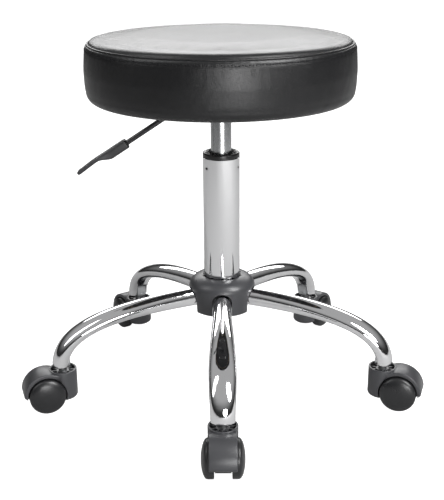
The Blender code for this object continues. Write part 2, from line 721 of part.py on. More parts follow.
def mounting_plate_mesh():
    """The pressed steel plate: a flange bolted to the board and a pocket that holds the tube's nose."""
    flange = rounded_plate(PLATE_HALF, PLATE_CORNER, PLATE_BOTTOM, PLATE_TOP)
    x, y = POCKET_HALF_X, POCKET_HALF_Y
    pocket = block((-x, -y, POCKET_FLOOR), (x, y, PLATE_TOP))
    wall = POCKET_WALL
    hollow = block((-x + wall, -y + wall, POCKET_FLOOR + wall), (x - wall, y - wall, PLATE_TOP + 0.01))
    middle = Matrix.Translation((0, 0, POCKET_FLOOR))
    nose_hole = rod(TAPER_SOCKET_RADIUS + GAP, 0.02, TUBE_SIDES, middle)
    slot_half = LEVER_FLAT_WIDTH / 2 + 0.001
    slot = block(
        (-x - 0.01, -slot_half, POCKET_FLOOR + wall + GAP),
        (-x + 0.01, slot_half, PLATE_BOTTOM - wall),
    )
    pin_hole = rod(LEVER_PIN_RADIUS + GAP, 0.1, BOLT_SIDES, along_y(LEVER_PIVOT_X, LEVER_HEIGHT))
    holes = [
        rod(BOLT_RADIUS + GAP, 0.02, BOLT_SIDES, Matrix.Translation((bx, by, PLATE_BOTTOM)))
        for bx, by in bolt_places()
    ]
    return carve("mounting_plate", flange, joined=[pocket],
                 cut=[hollow, nose_hole, slot, pin_hole, *holes])


def tube_radius_at(height):
    """The tube's outer radius: straight, then tapering over its nose."""
    share = (height - (TUBE_TOP - TUBE_NOSE_HEIGHT)) / TUBE_NOSE_HEIGHT
    return TUBE_RADIUS + (TUBE_NOSE_RADIUS - TUBE_RADIUS) * min(max(share, 0.0), 1.0)


def taper_socket_mesh():
    """The welded ring in the pocket's floor that the tube's nose wedges into."""
    high = TUBE_TOP - 0.001
    low = high - TAPER_SOCKET_HEIGHT
    knee = TUBE_TOP - TUBE_NOSE_HEIGHT
    return to_mesh("taper_socket", turned([
        (tube_radius_at(low) + GAP, low), (TAPER_SOCKET_RADIUS, low), (TAPER_SOCKET_RADIUS, high),
        (tube_radius_at(high) + GAP, high), (tube_radius_at(knee) + GAP, knee),
    ], TUBE_SIDES))


def bolt_mesh():
    """A hex-head bolt, head down, its shank through the plate into the board."""
    bm = rod(BOLT_HEAD_RADIUS, BOLT_HEAD_HEIGHT, 6, Matrix.Translation((0, 0, -BOLT_HEAD_HEIGHT / 2)))
    shank_low = -BOLT_HEAD_HEIGHT / 2
    middle = Matrix.Translation((0, 0, (shank_low + BOLT_LENGTH) / 2))
    shank = rod(BOLT_RADIUS, BOLT_LENGTH - shank_low, BOLT_SIDES, middle)
    return carve("seat_bolt", bm, joined=[shank])


# Lever --------------------------------------------------------------------------------------------


def lever_line():
    """The rod's middle line, from the pocket's wall down to the inside of the grip."""
    fall = math.radians(LEVER_FALL_ANGLE)
    ahead = Vector((-math.cos(fall), 0, -math.sin(fall)))
    start = Vector((LEVER_PIVOT_X - LEVER_FLAT_LENGTH / 3, 0, LEVER_HEIGHT))
    bend = Vector((LEVER_BEND_X, 0, LEVER_HEIGHT))
    curve = [start]
    radius = LEVER_BEND_RADIUS
    for step in range(5):
        share = step / 4
        one = bend + Vector((radius * (1 - share), 0, 0))
        other = bend + ahead * radius * share
        curve.append(one.lerp(other, share))
    reach = (LEVER_BEND_X - LEVER_GRIP_X) / math.cos(fall)
    curve.append(bend + ahead * (reach + LEVER_ROD_IN_GRIP))
    return curve, bend + ahead * reach, ahead


def swept_rod(points, radius, sides):
    """A round bar along a line that lies in the XZ plane."""
    bm = bmesh.new()
    rings = []
    for index, point in enumerate(points):
        before = points[max(index - 1, 0)]
        after = points[min(index + 1, len(points) - 1)]
        ahead = (after - before).normalized()
        up = Vector((-ahead.z, 0, ahead.x))
        ring = []
        for side in range(sides):
            angle = 2 * math.pi * side / sides
            offset = up * math.sin(angle) + Vector((0, 1, 0)) * math.cos(angle)
            ring.append(bm.verts.new(point + offset * radius))
        rings.append(ring)
    for one, other in zip(rings, rings[1:]):
        for side in range(sides):
            after = (side + 1) % sides
            bm.faces.new((one[side], one[after], other[after], other[side]))
    bm.faces.new(rings[0])
    bm.faces.new(rings[-1])
    return bm


def lever_rod_mesh():
    """The bent rod, pressed flat over the valve pin and drilled for its pivot pin."""
    points, _, _ = lever_line()
    bar = swept_rod(points, LEVER_ROD_RADIUS, FINE_SIDES)
    half = LEVER_FLAT_HEIGHT / 2
    flat = block(
        (LEVER_PIVOT_X - LEVER_FLAT_LENGTH * 0.7, -LEVER_FLAT_WIDTH / 2, LEVER_HEIGHT - half),
        (LEVER_NOSE_REACH, LEVER_FLAT_WIDTH / 2, LEVER_HEIGHT + half),
    )
    bore = running_bore(LEVER_PIN_RADIUS, FINE_SIDES)
    hole = rod(bore, POCKET_HALF_Y, FINE_SIDES, along_y(LEVER_PIVOT_X, LEVER_HEIGHT))
    return carve("lever_rod", bar, joined=[flat], cut=[hole])


def lever_pin_mesh():
    """The cross pin through the pocket's walls that the lever rocks on."""
    length = 2 * POCKET_HALF_Y + LEVER_PIN_RADIUS
    pin = rod(LEVER_PIN_RADIUS, length, FINE_SIDES, along_y(LEVER_PIVOT_X, LEVER_HEIGHT))
    return to_mesh("lever_pin", pin)


def grip_section(share):
    """The grip's half height, half width and rise over the rod's line; its top edge runs straight."""
    body = GRIP_LENGTH / (GRIP_LENGTH + TONGUE_LENGTH)
    start, end = body * 0.78, body * 1.15
    part = (share - start) / (end - start)
    height = blend(GRIP_HEIGHT, TONGUE_HEIGHT, part)
    width = blend(GRIP_WIDTH, TONGUE_WIDTH, part)
    rise = (GRIP_HEIGHT - height) / 2 - TONGUE_TIP_DROP * blend(0.0, 1.0, (share - end) / (1 - end))
    tip = max((share - 0.92) / 0.08, 0.0)
    return height / 2 * (1 - 0.45 * tip), width / 2 * (1 - 0.35 * tip), rise


def lever_handle_mesh():
    """The moulded grip: a square socket over the rod's end that thins to a flat finger tongue."""
    _, mouth, ahead = lever_line()
    up = Vector((-ahead.z, 0, ahead.x)) * -1
    length = GRIP_LENGTH + TONGUE_LENGTH
    bm = bmesh.new()
    rings = []
    for share in (0.0, 0.03, 0.25, 0.41, 0.46, 0.51, 0.56, 0.60, 0.75, 0.92, 0.97, 1.0):
        half_height, half_width, lift = grip_section(share)
        if share == 0.0:
            half_height -= 0.001
            half_width -= 0.001
        centre = mouth + ahead * length * share + up * lift
        ring = []
        for side in range(12):
            angle = 2 * math.pi * (side + 0.5) / 12
            across = math.copysign(abs(math.cos(angle)) ** 0.55, math.cos(angle)) * half_width
            rise = math.copysign(abs(math.sin(angle)) ** 0.55, math.sin(angle)) * half_height
            ring.append(bm.verts.new(centre + Vector((0, across, 0)) + up * rise))
        rings.append(ring)
    for one, other in zip(rings, rings[1:]):
        for side in range(12):
            after = (side + 1) % 12
            bm.faces.new((one[side], one[after], other[after], other[side]))
    bm.faces.new(rings[0])
    bm.faces.new(rings[-1])
    hole_end = mouth + ahead * (LEVER_ROD_IN_GRIP + GAP)
    hole = swept_rod([mouth - ahead * 0.01, hole_end], LEVER_ROD_RADIUS + GAP, FINE_SIDES)
    return carve("lever_handle", bm, cut=[hole])


# Casters ------------------------------------------------------------------------------------------


def hood_mesh():
    """The caster's moulded body: stem cup, arched hood over both wheels, and the web that holds the axle."""
    wheel = (CASTER_TRAIL, WHEEL_CENTRE)
    low = CUP_BOTTOM
    cup = turned([
        (0, low), (CUP_RADIUS - CUP_ROUND, low), (CUP_RADIUS, low + CUP_ROUND), (CUP_RADIUS, CUP_TOP),
        (0, CUP_TOP),
    ], TUBE_SIDES)
    outline = arc(wheel, HOOD_RADIUS, HOOD_TAIL_ANGLE, HOOD_FRONT_ANGLE, 8)
    lip = outline[0]
    web = WHEEL_CENTRE - WEB_DROP
    outline += [
        (BOSS_DROP, CUP_TOP - CUP_ROUND), (BOSS_DROP, low + CUP_ROUND / 2), (WEB_REACH, web),
        (CASTER_TRAIL + WEB_REACH, web), (lip[0] - HOOD_LIP_REACH, lip[1] - HOOD_LIP_FALL),
    ]
    arch = extruded(outline, -HOOD_HALF_WIDTH, HOOD_HALF_WIDTH)
    cuts = []
    inner = WHEEL_INNER_FACE - HOOD_WEB_GAP
    reach = WHEEL_INNER_FACE + CUP_RADIUS
    for side in (-1, 1):
        place = along_y(*wheel, y=side * (inner + reach / 2))
        cuts.append(rod(WHEEL_CLEAR_RADIUS, reach, TUBE_SIDES, place))
    boss = STEM_RADIUS + BOSS_WALL
    recess = turned([
        (boss, CUP_FLOOR), (CUP_RADIUS - CUP_WALL, CUP_FLOOR), (CUP_RADIUS - CUP_WALL, CUP_TOP + 0.01),
        (0, CUP_TOP + 0.01), (0, CUP_TOP - BOSS_DROP), (boss, CUP_TOP - BOSS_DROP),
    ], SMALL_SIDES)
    stem_low = STEM_BOTTOM - GAP
    depth = CUP_TOP - stem_low + 0.01
    bore_radius = running_bore(STEM_RADIUS, SMALL_SIDES)
    bore = rod(bore_radius, depth, SMALL_SIDES, Matrix.Translation((0, 0, stem_low + depth / 2)))
    axle = rod(AXLE_RADIUS + GAP, 2 * reach, FINE_SIDES, along_y(*wheel))
    return carve("hood", cup, joined=[arch], cut=[*cuts, recess, bore, axle])


def axle_mesh():
    """The steel pin through the hood's web, with a wheel on each end."""
    length = 2 * (WHEEL_INNER_FACE + WHEEL_BORE_DEPTH) - 2 * GAP
    return to_mesh("axle", rod(AXLE_RADIUS, length, FINE_SIDES, Matrix.Rotation(math.pi / 2, 4, "X")))


def wheel_mesh():
    """One moulded wheel: flat inner face with a blind bore, plain tread, domed outer face."""
    tread_end = WHEEL_INNER_FACE + WHEEL_TREAD_WIDTH
    rim = math.asin(WHEEL_DOME_FLAT_RADIUS / WHEEL_RADIUS)
    dome = []
    for step in range(DOME_STEPS + 1):
        angle = math.pi / 2 + (rim - math.pi / 2) * step / DOME_STEPS
        rise = WHEEL_DOME_HEIGHT * math.cos(angle) / math.cos(rim)
        dome.append((WHEEL_RADIUS * math.sin(angle), tread_end + rise))
    disc = turned([
        (0, WHEEL_INNER_FACE), (WHEEL_RADIUS, WHEEL_INNER_FACE), *dome, (0, dome[-1][1]),
    ], WHEEL_SIDES, start=WHEEL_STEP / 2)
    middle = Matrix.Translation((0, 0, WHEEL_INNER_FACE))
    bore = rod(running_bore(AXLE_RADIUS, FINE_SIDES), WHEEL_BORE_DEPTH * 2, FINE_SIDES, middle)
    return carve("wheel", disc, cut=[bore])


# Assembly -----------------------------------------------------------------------------------------


def build_base(root, finish):
    """Hub, column and the five arms with their sockets and stems."""
    piece("hub_core", hub_core_mesh(), finish["zinc"], root)
    piece("hub_cover", hub_cover_mesh(), finish["grey_nylon"], root)
    piece("outer_column", column_mesh(), finish["chrome"], root)
    piece("guide_bush", bush_mesh(), finish["black_nylon"], root)
    piece("thrust_bearing", bearing_mesh(), finish["zinc"], root)
    arm, socket, stem = arm_mesh(), socket_mesh(), stem_mesh()
    frames = []
    for number in range(ARM_COUNT):
        angle = FRONT_ANGLE + 360 / ARM_COUNT * number
        frame = empty(f"arm_frame_{number + 1}", root, turn=(0, 0, angle))
        piece(f"arm_{number + 1}", arm, finish["chrome"], frame)
        place = (SWIVEL_RADIUS, 0, 0)
        piece(f"stem_socket_{number + 1}", socket, finish["zinc"], frame, place)
        piece(f"caster_stem_{number + 1}", stem, finish["zinc"], frame, place)
        frames.append(frame)
    return frames


def build_casters(frames, finish):
    """Each caster swivels about its stem, and its two wheels turn on one axle."""
    hood, axle, wheel = hood_mesh(), axle_mesh(), wheel_mesh()
    for number, frame in enumerate(frames, start=1):
        swivel = empty(f"caster_axis_{number}", frame, (SWIVEL_RADIUS, 0, 0))
        piece(f"caster_hood_{number}", hood, finish["grey_nylon"], swivel)
        centre = empty(f"wheel_axis_{number}", swivel, (CASTER_TRAIL, 0, WHEEL_CENTRE))
        piece(f"axle_{number}", axle, finish["zinc"], centre)
        piece(f"wheel_{number}_left", wheel, finish["black_nylon"], centre, turn=(90, 0, 0))
        piece(f"wheel_{number}_right", wheel, finish["black_nylon"], centre, turn=(-90, 0, 0))


def build_lift(swivel, finish):
    """What turns on the thrust bearing but doesn't rise: rod, piston, washer and clip."""
    piece("piston_rod", piston_rod_mesh(), finish["satin_steel"], swivel)
    piece("piston", piston_mesh(), finish["black_nylon"], swivel)
    piece("bearing_washer", washer_mesh(), finish["zinc"], swivel)
    piece("retaining_clip", clip_mesh(), finish["zinc"], swivel)


def build_seat(lift, finish):
    """What rises with the seat."""
    piece("pressure_tube", pressure_tube_mesh(), finish["satin_steel"], lift)
    piece("taper_socket", taper_socket_mesh(), finish["black_paint"], lift)
    piece("mounting_plate", mounting_plate_mesh(), finish["black_paint"], lift)
    piece("seat_board", seat_board_mesh(), finish["plywood"], lift)
    piece("dust_cover", dust_cover_mesh(), finish["black_cloth"], lift)
    piece("seat_foam", seat_foam_mesh(), finish["foam"], lift)
    piece("seat_cover", seat_cover_mesh(), finish["vinyl"], lift)
    bolt = bolt_mesh()
    head_top = PLATE_BOTTOM - GAP
    for number, (x, y) in enumerate(bolt_places(), start=1):
        piece(f"seat_bolt_{number}", bolt, finish["zinc"], lift, (x, y, head_top))
    piece("lever_pin", lever_pin_mesh(), finish["zinc"], lift)
    piece("valve_pin", valve_pin_mesh(), finish["satin_steel"], lift)


def build_lever(lift, finish):
    """The release lever, about its pivot pin; the meshes are drawn in the stool's frame."""
    pivot = (LEVER_PIVOT_X, 0, LEVER_HEIGHT)
    axis = empty("lever_axis", lift, pivot)
    back = [-value for value in pivot]
    piece("lever_rod", lever_rod_mesh(), finish["black_paint"], axis, back)
    piece("lever_handle", lever_handle_mesh(), finish["grey_nylon"], axis, back)


def centre_on_floor(root):
    """Move the stool so that its box is centred on the origin."""
    bpy.context.view_layer.update()
    points = [
        item.matrix_world @ vertex.co
        for item in bpy.data.objects if item.type == "MESH" for vertex in item.data.vertices
    ]
    root.location.x = -(min(point.x for point in points) + max(point.x for point in points)) / 2
    root.location.y = -(min(point.y for point in points) + max(point.y for point in points)) / 2


def build():
    clear_scene()
    finish = {
        "vinyl": paint("vinyl", BLACK_VINYL, 0.38, 0.0),
        "foam": paint("foam", FOAM_YELLOW, 0.95, 0.0),
        "plywood": paint("plywood", PLYWOOD, 0.75, 0.0),
        "black_cloth": paint("black_cloth", BLACK_CLOTH, 0.95, 0.0),
        "chrome": paint("chrome", CHROME, 0.06, 1.0),
        "satin_steel": paint("satin_steel", SATIN_STEEL, 0.28, 1.0),
        "zinc": paint("zinc", ZINC, 0.40, 1.0),
        "black_paint": paint("black_paint", BLACK_PAINT, 0.35, 0.0),
        "grey_nylon": paint("grey_nylon", GREY_NYLON, 0.45, 0.0),
        "black_nylon": paint("black_nylon", BLACK_NYLON, 0.40, 0.0),
    }
    root = empty("stool", None)
    frames = build_base(root, finish)
    build_casters(frames, finish)
    swivel = empty("seat_swivel_axis", root)
    build_lift(swivel, finish)
    lift = empty("seat_lift_axis", swivel)
    build_seat(lift, finish)
    build_lever(lift, finish)
    centre_on_floor(root)
    bpy.context.view_layer.update()


build()
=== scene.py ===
"""The looks of the adjustable swivel stool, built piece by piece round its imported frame."""

import math

import bmesh
import bpy
from mathutils import Matrix, Vector, noise
from mathutils.bvhtree import BVHTree


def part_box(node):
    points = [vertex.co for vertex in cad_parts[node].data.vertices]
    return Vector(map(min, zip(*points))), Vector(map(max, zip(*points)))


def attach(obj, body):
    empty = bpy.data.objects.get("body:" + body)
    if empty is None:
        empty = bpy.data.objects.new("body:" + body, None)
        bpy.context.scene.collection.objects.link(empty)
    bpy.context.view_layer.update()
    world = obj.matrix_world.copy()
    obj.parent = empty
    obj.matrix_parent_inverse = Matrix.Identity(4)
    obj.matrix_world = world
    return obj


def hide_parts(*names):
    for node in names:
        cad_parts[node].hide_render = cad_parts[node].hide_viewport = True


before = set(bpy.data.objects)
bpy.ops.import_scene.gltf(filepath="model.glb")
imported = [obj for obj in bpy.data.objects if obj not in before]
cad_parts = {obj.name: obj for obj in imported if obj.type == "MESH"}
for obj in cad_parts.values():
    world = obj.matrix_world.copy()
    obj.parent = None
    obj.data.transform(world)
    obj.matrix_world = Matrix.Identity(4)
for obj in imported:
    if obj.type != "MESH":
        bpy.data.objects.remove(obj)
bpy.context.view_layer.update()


# Viewpoint, floor and lights
# The stool stands on a wide pale floor among four oval softboxes: a long one behind the seat, a tall
# one on each side, the right one stronger, and a low one in front. None of it is the object's.
LENS = 69.0
SENSOR_WIDTH = 36.0
EYE = (0.0, -1.2399, 0.6402)
PITCH_DOWN = 19.19
ROLL = 0.35
PAN_RIGHT = 0.135
FLOOR_SPAN = 60.0
FLOOR_GREY = 0.42
FLOOR_LIFT = 1.00
SKY_LOW = 0.10
SKY_HIGH = 0.70
SKY_RIM = 0.03
SKY_TOP = 0.42
# Each light's name, place, aim, width and height in metres, and power in watts.
LIGHTS = (
    ("light_behind", (0, 3.0, 1.72), (0, 0, 0.50), 4.4, 1.3, 60),
    ("light_right", (1.35, -1.1, 1.75), (0, 0, 0.2), 1.0, 1.7, 66),
    ("light_left", (-1.55, -0.5, 1.8), (0, 0, 0.2), 0.6, 2.2, 13),
    ("light_front", (0.62, -2.45, 0.50), (0, 0, 0.45), 1.1, 0.8, 30),
)


def stand_camera():
    camera = bpy.data.objects.new("camera", bpy.data.cameras.new("camera"))
    camera.data.lens = LENS
    camera.data.sensor_width = SENSOR_WIDTH
    camera.location = EYE
    camera.rotation_euler = [math.radians(turn) for turn in (90 - PITCH_DOWN, ROLL, -PAN_RIGHT)]
    bpy.context.scene.collection.objects.link(camera)
    bpy.context.scene.camera = camera


def soft_light(name, place, aim, width, height, power):
    """An oval softbox that faces a point."""
    lamp = bpy.data.lights.new(name, "AREA")
    lamp.shape = "ELLIPSE"
    lamp.size = width
    lamp.size_y = height
    lamp.energy = power
    item = bpy.data.objects.new(name, lamp)
    item.location = place
    item.rotation_euler = (Vector(aim) - Vector(place)).to_track_quat("-Z", "Y").to_euler()
    bpy.context.scene.collection.objects.link(item)


def light_sky():
    """A studio round the stool: bright overhead, dim at the horizon, and white straight behind it."""
    world = bpy.data.worlds.new("studio")
    world.use_nodes = True
    tree = world.node_tree
    place = tree.nodes.new("ShaderNodeTexCoord")
    split = tree.nodes.new("ShaderNodeSeparateXYZ")
    shade = tree.nodes.new("ShaderNodeMapRange")
    shade.interpolation_type = "SMOOTHSTEP"
    shade.inputs["From Min"].default_value = SKY_LOW
    shade.inputs["From Max"].default_value = SKY_HIGH
    shade.inputs["To Min"].default_value = SKY_RIM
    shade.inputs["To Max"].default_value = SKY_TOP
    white = tree.nodes.new("ShaderNodeBackground")
    path = tree.nodes.new("ShaderNodeLightPath")
    mix = tree.nodes.new("ShaderNodeMixShader")
    tree.links.new(place.outputs["Generated"], split.inputs["Vector"])
    tree.links.new(split.outputs["Z"], shade.inputs["Value"])
    tree.links.new(shade.outputs["Result"], tree.nodes["Background"].inputs["Color"])
    white.inputs["Color"].default_value = (1, 1, 1, 1)
    tree.links.new(path.outputs["Is Camera Ray"], mix.inputs["Fac"])
    tree.links.new(tree.nodes["Background"].outputs["Background"], mix.inputs[1])
    tree.links.new(white.outputs["Background"], mix.inputs[2])
    tree.links.new(mix.outputs["Shader"], tree.nodes["World Output"].inputs["Surface"])
    bpy.context.scene.world = world


def lay_floor():
    """White paper: overlit where it is looked at, pale grey in what the polished parts reflect."""
    bm = bmesh.new()
    bmesh.ops.create_grid(bm, x_segments=1, y_segments=1, size=FLOOR_SPAN / 2)
    mesh = bpy.data.meshes.new("floor")
    bm.to_mesh(mesh)
    bm.free()
    floor = bpy.data.objects.new("floor", mesh)
    bpy.context.scene.collection.objects.link(floor)
    material = bpy.data.materials.new("floor_paper")
    material.use_nodes = True
    tree = material.node_tree
    shader = tree.nodes["Principled BSDF"]
    shader.inputs["Base Color"].default_value = (FLOOR_GREY, FLOOR_GREY, FLOOR_GREY, 1)
    shader.inputs["Roughness"].default_value = 0.9
    shader.inputs["Specular IOR Level"].default_value = 0.1
    shader.inputs["Emission Color"].default_value = (1, 1, 1, 1)
    path = tree.nodes.new("ShaderNodeLightPath")
    lift = tree.nodes.new("ShaderNodeMath")
    lift.operation = "MULTIPLY"
    lift.inputs[1].default_value = FLOOR_LIFT
    tree.links.new(path.outputs["Is Camera Ray"], lift.inputs[0])
    tree.links.new(lift.outputs[0], shader.inputs["Emission Strength"])
    mesh.materials.append(material)


stand_camera()
lay_floor()
light_sky()
for light in LIGHTS:
    soft_light(*light)
bpy.context.scene.view_settings.view_transform = "Standard"


# Hub core
# A turned steel ring that the five arms are welded to and the column's foot is wedged in. It is
# hidden by the cover from above and shows from below, bright zinc with a dull, uneven skin.
CENTRE = Vector((0, 0, 0))
CENTRE.y = (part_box("outer_column")[0].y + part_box("outer_column")[1].y) / 2
CORE_WALL = 0.0070
ZINC = (0.52, 0.53, 0.54)


def new_group(name, inputs, outputs):
    """An empty node group with named number inputs and its outputs."""
    tree = bpy.data.node_groups.new(name, "ShaderNodeTree")
    for label, value in inputs.items():
        socket = tree.interface.new_socket(label, in_out="INPUT", socket_type="NodeSocketFloat")
        socket.default_value = value
    for label, kind in outputs.items():
        tree.interface.new_socket(label, in_out="OUTPUT", socket_type=kind)
    ends = tree.nodes.new("NodeGroupInput"), tree.nodes.new("NodeGroupOutput")
    return tree, *ends


def join(tree, *pairs):
    """Link output sockets to input sockets."""
    for source, target in pairs:
        tree.links.new(source, target)


def math_node(tree, operation, *values):
    """A Math node whose values are numbers or sockets; returns its result."""
    node = tree.nodes.new("ShaderNodeMath")
    node.operation = operation
    for index, value in enumerate(values):
        if isinstance(value, (int, float)):
            node.inputs[index].default_value = value
        else:
            tree.links.new(value, node.inputs[index])
    return node.outputs[0]


def noise_node(tree, vector, scale, detail=3.0, roughness=0.5):
    node = tree.nodes.new("ShaderNodeTexNoise")
    node.inputs["Detail"].default_value = detail
    node.inputs["Roughness"].default_value = roughness
    tree.links.new(vector, node.inputs["Vector"])
    if isinstance(scale, (int, float)):
        node.inputs["Scale"].default_value = scale
    else:
        tree.links.new(scale, node.inputs["Scale"])
    return node.outputs["Fac"]


def mix_colours(tree, share, first, second):
    """A Mix node between two colour sockets; returns the mixed colour."""
    node = tree.nodes.new("ShaderNodeMix")
    node.data_type = "RGBA"
    inputs = {socket.identifier: socket for socket in node.inputs}
    outputs = {socket.identifier: socket for socket in node.outputs}
    join(tree, (share, inputs["Factor_Float"]), (first, inputs["A_Color"]), (second, inputs["B_Color"]))
    return outputs["Result_Color"]


def make_handling_group():
    """Uneven gloss from handling and dust: soft patches with finer spots in them."""
    tree, start, end = new_group(
        "handling", {"Scale": 30.0, "Roughness": 0.3, "Amount": 0.1},
        {"Roughness": "NodeSocketFloat"},
    )
    place = tree.nodes.new("ShaderNodeTexCoord").outputs["Object"]
    soft = noise_node(tree, place, start.outputs["Scale"], 4.0, 0.6)
    fine_scale = math_node(tree, "MULTIPLY", start.outputs["Scale"], 14.0)
    fine = noise_node(tree, place, fine_scale, 2.0)
    soft, fine = math_node(tree, "MULTIPLY", soft, 1.4), math_node(tree, "MULTIPLY", fine, 0.6)
    both = math_node(tree, "ADD", soft, fine)
    swing = math_node(tree, "MULTIPLY", math_node(tree, "SUBTRACT", both, 1.0), start.outputs["Amount"])
    join(tree, (math_node(tree, "ADD", swing, start.outputs["Roughness"]), end.inputs["Roughness"]))
    return tree


def make_speck_group():
    """A fine pebbled height, as on moulded plastic, cast metal or paint."""
    tree, start, end = new_group("speck", {"Scale": 1500.0}, {"Height": "NodeSocketFloat"})
    place = tree.nodes.new("ShaderNodeTexCoord").outputs["Object"]
    join(tree, (noise_node(tree, place, start.outputs["Scale"], 3.0, 0.65), end.inputs["Height"]))
    return tree


def make_tone_group():
    """A colour that drifts a little between a darker and a lighter tone."""
    tree, start, end = new_group("tone", {"Scale": 18.0}, {"Color": "NodeSocketColor"})
    for label in ("Dark", "Light"):
        tree.interface.new_socket(label, in_out="INPUT", socket_type="NodeSocketColor")
    place = tree.nodes.new("ShaderNodeTexCoord").outputs["Object"]
    drift = noise_node(tree, place, start.outputs["Scale"], 4.0, 0.6)
    mixed = mix_colours(tree, drift, start.outputs["Dark"], start.outputs["Light"])
    join(tree, (mixed, end.inputs["Color"]))
    return tree


HANDLING = make_handling_group()
SPECK = make_speck_group()
TONE = make_tone_group()


def use_group(tree, group, **values):
    node = tree.nodes.new("ShaderNodeGroup")
    node.node_tree = group
    for label, value in values.items():
        node.inputs[label].default_value = value
    return node


def new_finish(name, colour, metallic=0.0, drift=0.12, drift_scale=18.0, **constants):
    """A material with a drifting base colour; constants go on the shader's own sockets."""
    material = bpy.data.materials.new(name)
    material.use_nodes = True
    tree = material.node_tree
    shader = tree.nodes["Principled BSDF"]
    shader.inputs["Metallic"].default_value = metallic
    for label, value in constants.items():
        shader.inputs[label.replace("_", " ")].default_value = value
    dark = (*[part * (1 - drift) for part in colour], 1)
    light = (*[min(part * (1 + drift), 1) for part in colour], 1)
    tone = use_group(tree, TONE, Scale=drift_scale, Dark=dark, Light=light)
    join(tree, (tone.outputs["Color"], shader.inputs["Base Color"]))
    return material, tree, shader


def vary_gloss(tree, shader, roughness, amount, scale):
    node = use_group(tree, HANDLING, Scale=scale, Roughness=roughness, Amount=amount)
    join(tree, (node.outputs["Roughness"], shader.inputs["Roughness"]))


def add_bump(tree, shader, height, distance, strength=1.0):
    """Feed a height in metres' worth of bump to the shader's normal."""
    bump = tree.nodes.new("ShaderNodeBump")
    bump.inputs["Distance"].default_value = distance
    bump.inputs["Strength"].default_value = strength
    join(tree, (height, bump.inputs["Height"]), (bump.outputs["Normal"], shader.inputs["Normal"]))


def make_zinc():
    material, tree, shader = new_finish("zinc_plate", ZINC, metallic=1.0, drift=0.18, drift_scale=45)
    vary_gloss(tree, shader, 0.38, 0.16, 60)
    speck = use_group(tree, SPECK, Scale=1800)
    add_bump(tree, shader, speck.outputs["Height"], 0.00005, 0.5)
    return material


def turned(profile, steps=96, ring=False):
    """Spin an outline of (radius, height) points about the column's axis into a closed shape."""
    bm = bmesh.new()
    verts = [bm.verts.new((radius, 0, height)) for radius, height in profile]
    edges = [bm.edges.new(pair) for pair in zip(verts, verts[1:])]
    if ring:
        edges.append(bm.edges.new((verts[-1], verts[0])))
    bmesh.ops.spin(
        bm, geom=verts + edges, cent=(0, 0, 0), axis=(0, 0, 1),
        angle=math.tau, steps=steps, use_merge=True,
    )
    bmesh.ops.remove_doubles(bm, verts=bm.verts, dist=1e-6)
    bmesh.ops.recalc_face_normals(bm, faces=bm.faces)
    return bm


def round_edges(bm, width, angle=30.0, segments=2):
    """Bevel every edge that turns more sharply than the angle."""
    sharp = [edge for edge in bm.edges
             if edge.is_manifold and edge.calc_face_angle(0) > math.radians(angle)]
    bmesh.ops.bevel(
        bm, geom=sharp, offset=width, offset_type="OFFSET", segments=segments, profile=0.5,
        affect="EDGES", clamp_overlap=True, material=-1,
    )
    return bm


def piece(name, bm, material, body, slot, *nodes, smooth=40.0, place=None):
    """Turn a bmesh into a finished piece that rides on a body and stands for its nodes."""
    bmesh.ops.transform(bm, matrix=place or Matrix.Translation(CENTRE), verts=bm.verts)
    mesh = bpy.data.meshes.new(name)
    bm.to_mesh(mesh)
    bm.free()
    mesh.shade_smooth()
    mesh.set_sharp_from_angle(angle=math.radians(smooth))
    mesh.materials.append(material)
    item = bpy.data.objects.new(name, mesh)
    bpy.context.scene.collection.objects.link(item)
    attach(item, body)
    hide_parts(*nodes)
    return item


def repaint(material, *nodes):
    """Give frame nodes that keep their shape a better finish."""
    for node in nodes:
        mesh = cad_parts[node].data
        mesh.materials.clear()
        mesh.materials.append(material)


zinc = make_zinc()
core_low, core_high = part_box("hub_core")
core_radius = (core_high.x - core_low.x) / 2
core_bore = core_radius - CORE_WALL
core = turned([
    (core_bore, core_low.z), (core_radius, core_low.z), (core_radius, core_high.z), (core_bore, core_high.z),
], ring=True)
piece("hub_core_ring", round_edges(core, 0.0006), zinc, "base", "zinc_steel", "hub_core")


# Column
# The gas lift's outer tube: 50 mm steel, chromed and polished, tapered at the foot where it wedges
# into the hub. Three stake marks below its mouth hold the guide bush.
CHROME = (0.83, 0.83, 0.84)
TUBE_WALL = 0.0015
TUBE_EDGE = 0.0006
FOOT_EDGE = 0.0008
ROD_HOLE = 0.0052
TAPER_INSET = 0.0015
TAPER_RISE = 0.0080
STAKE_COUNT = 3
STAKE_ANGLE = -142.0
STAKE_DROP = 0.0115
STAKE_RADIUS = 0.0024
STAKE_DEPTH = 0.0011
STAKE_ROWS = 10
STAKE_ROW_STEP = 0.0005


def make_chrome(name, roughness, ripple, stretch=1.0):
    """Polished plating: almost a mirror, with faint ripples, drawn out along a drawn tube."""
    material, tree, shader = new_finish(name, CHROME, metallic=1.0, drift=0.03, drift_scale=12)
    vary_gloss(tree, shader, roughness, 0.05, 24)
    place = tree.nodes.new("ShaderNodeTexCoord").outputs["Object"]
    mapping = tree.nodes.new("ShaderNodeMapping")
    mapping.inputs["Scale"].default_value = (1, 1, stretch)
    join(tree, (place, mapping.inputs["Vector"]))
    ripples = noise_node(tree, mapping.outputs["Vector"], 75.0, 2.0, 0.45)
    add_bump(tree, shader, ripples, ripple, 0.5)
    return material


chrome = make_chrome("chrome_plate", 0.055, 0.0003)
column_chrome = make_chrome("chrome_tube", 0.075, 0.0011, stretch=0.03)
column_low, column_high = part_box("outer_column")
column_radius = (column_high.x - column_low.x) / 2
column_foot = column_radius - TAPER_INSET
taper_low, taper_high = core_high.z, core_high.z + TAPER_RISE


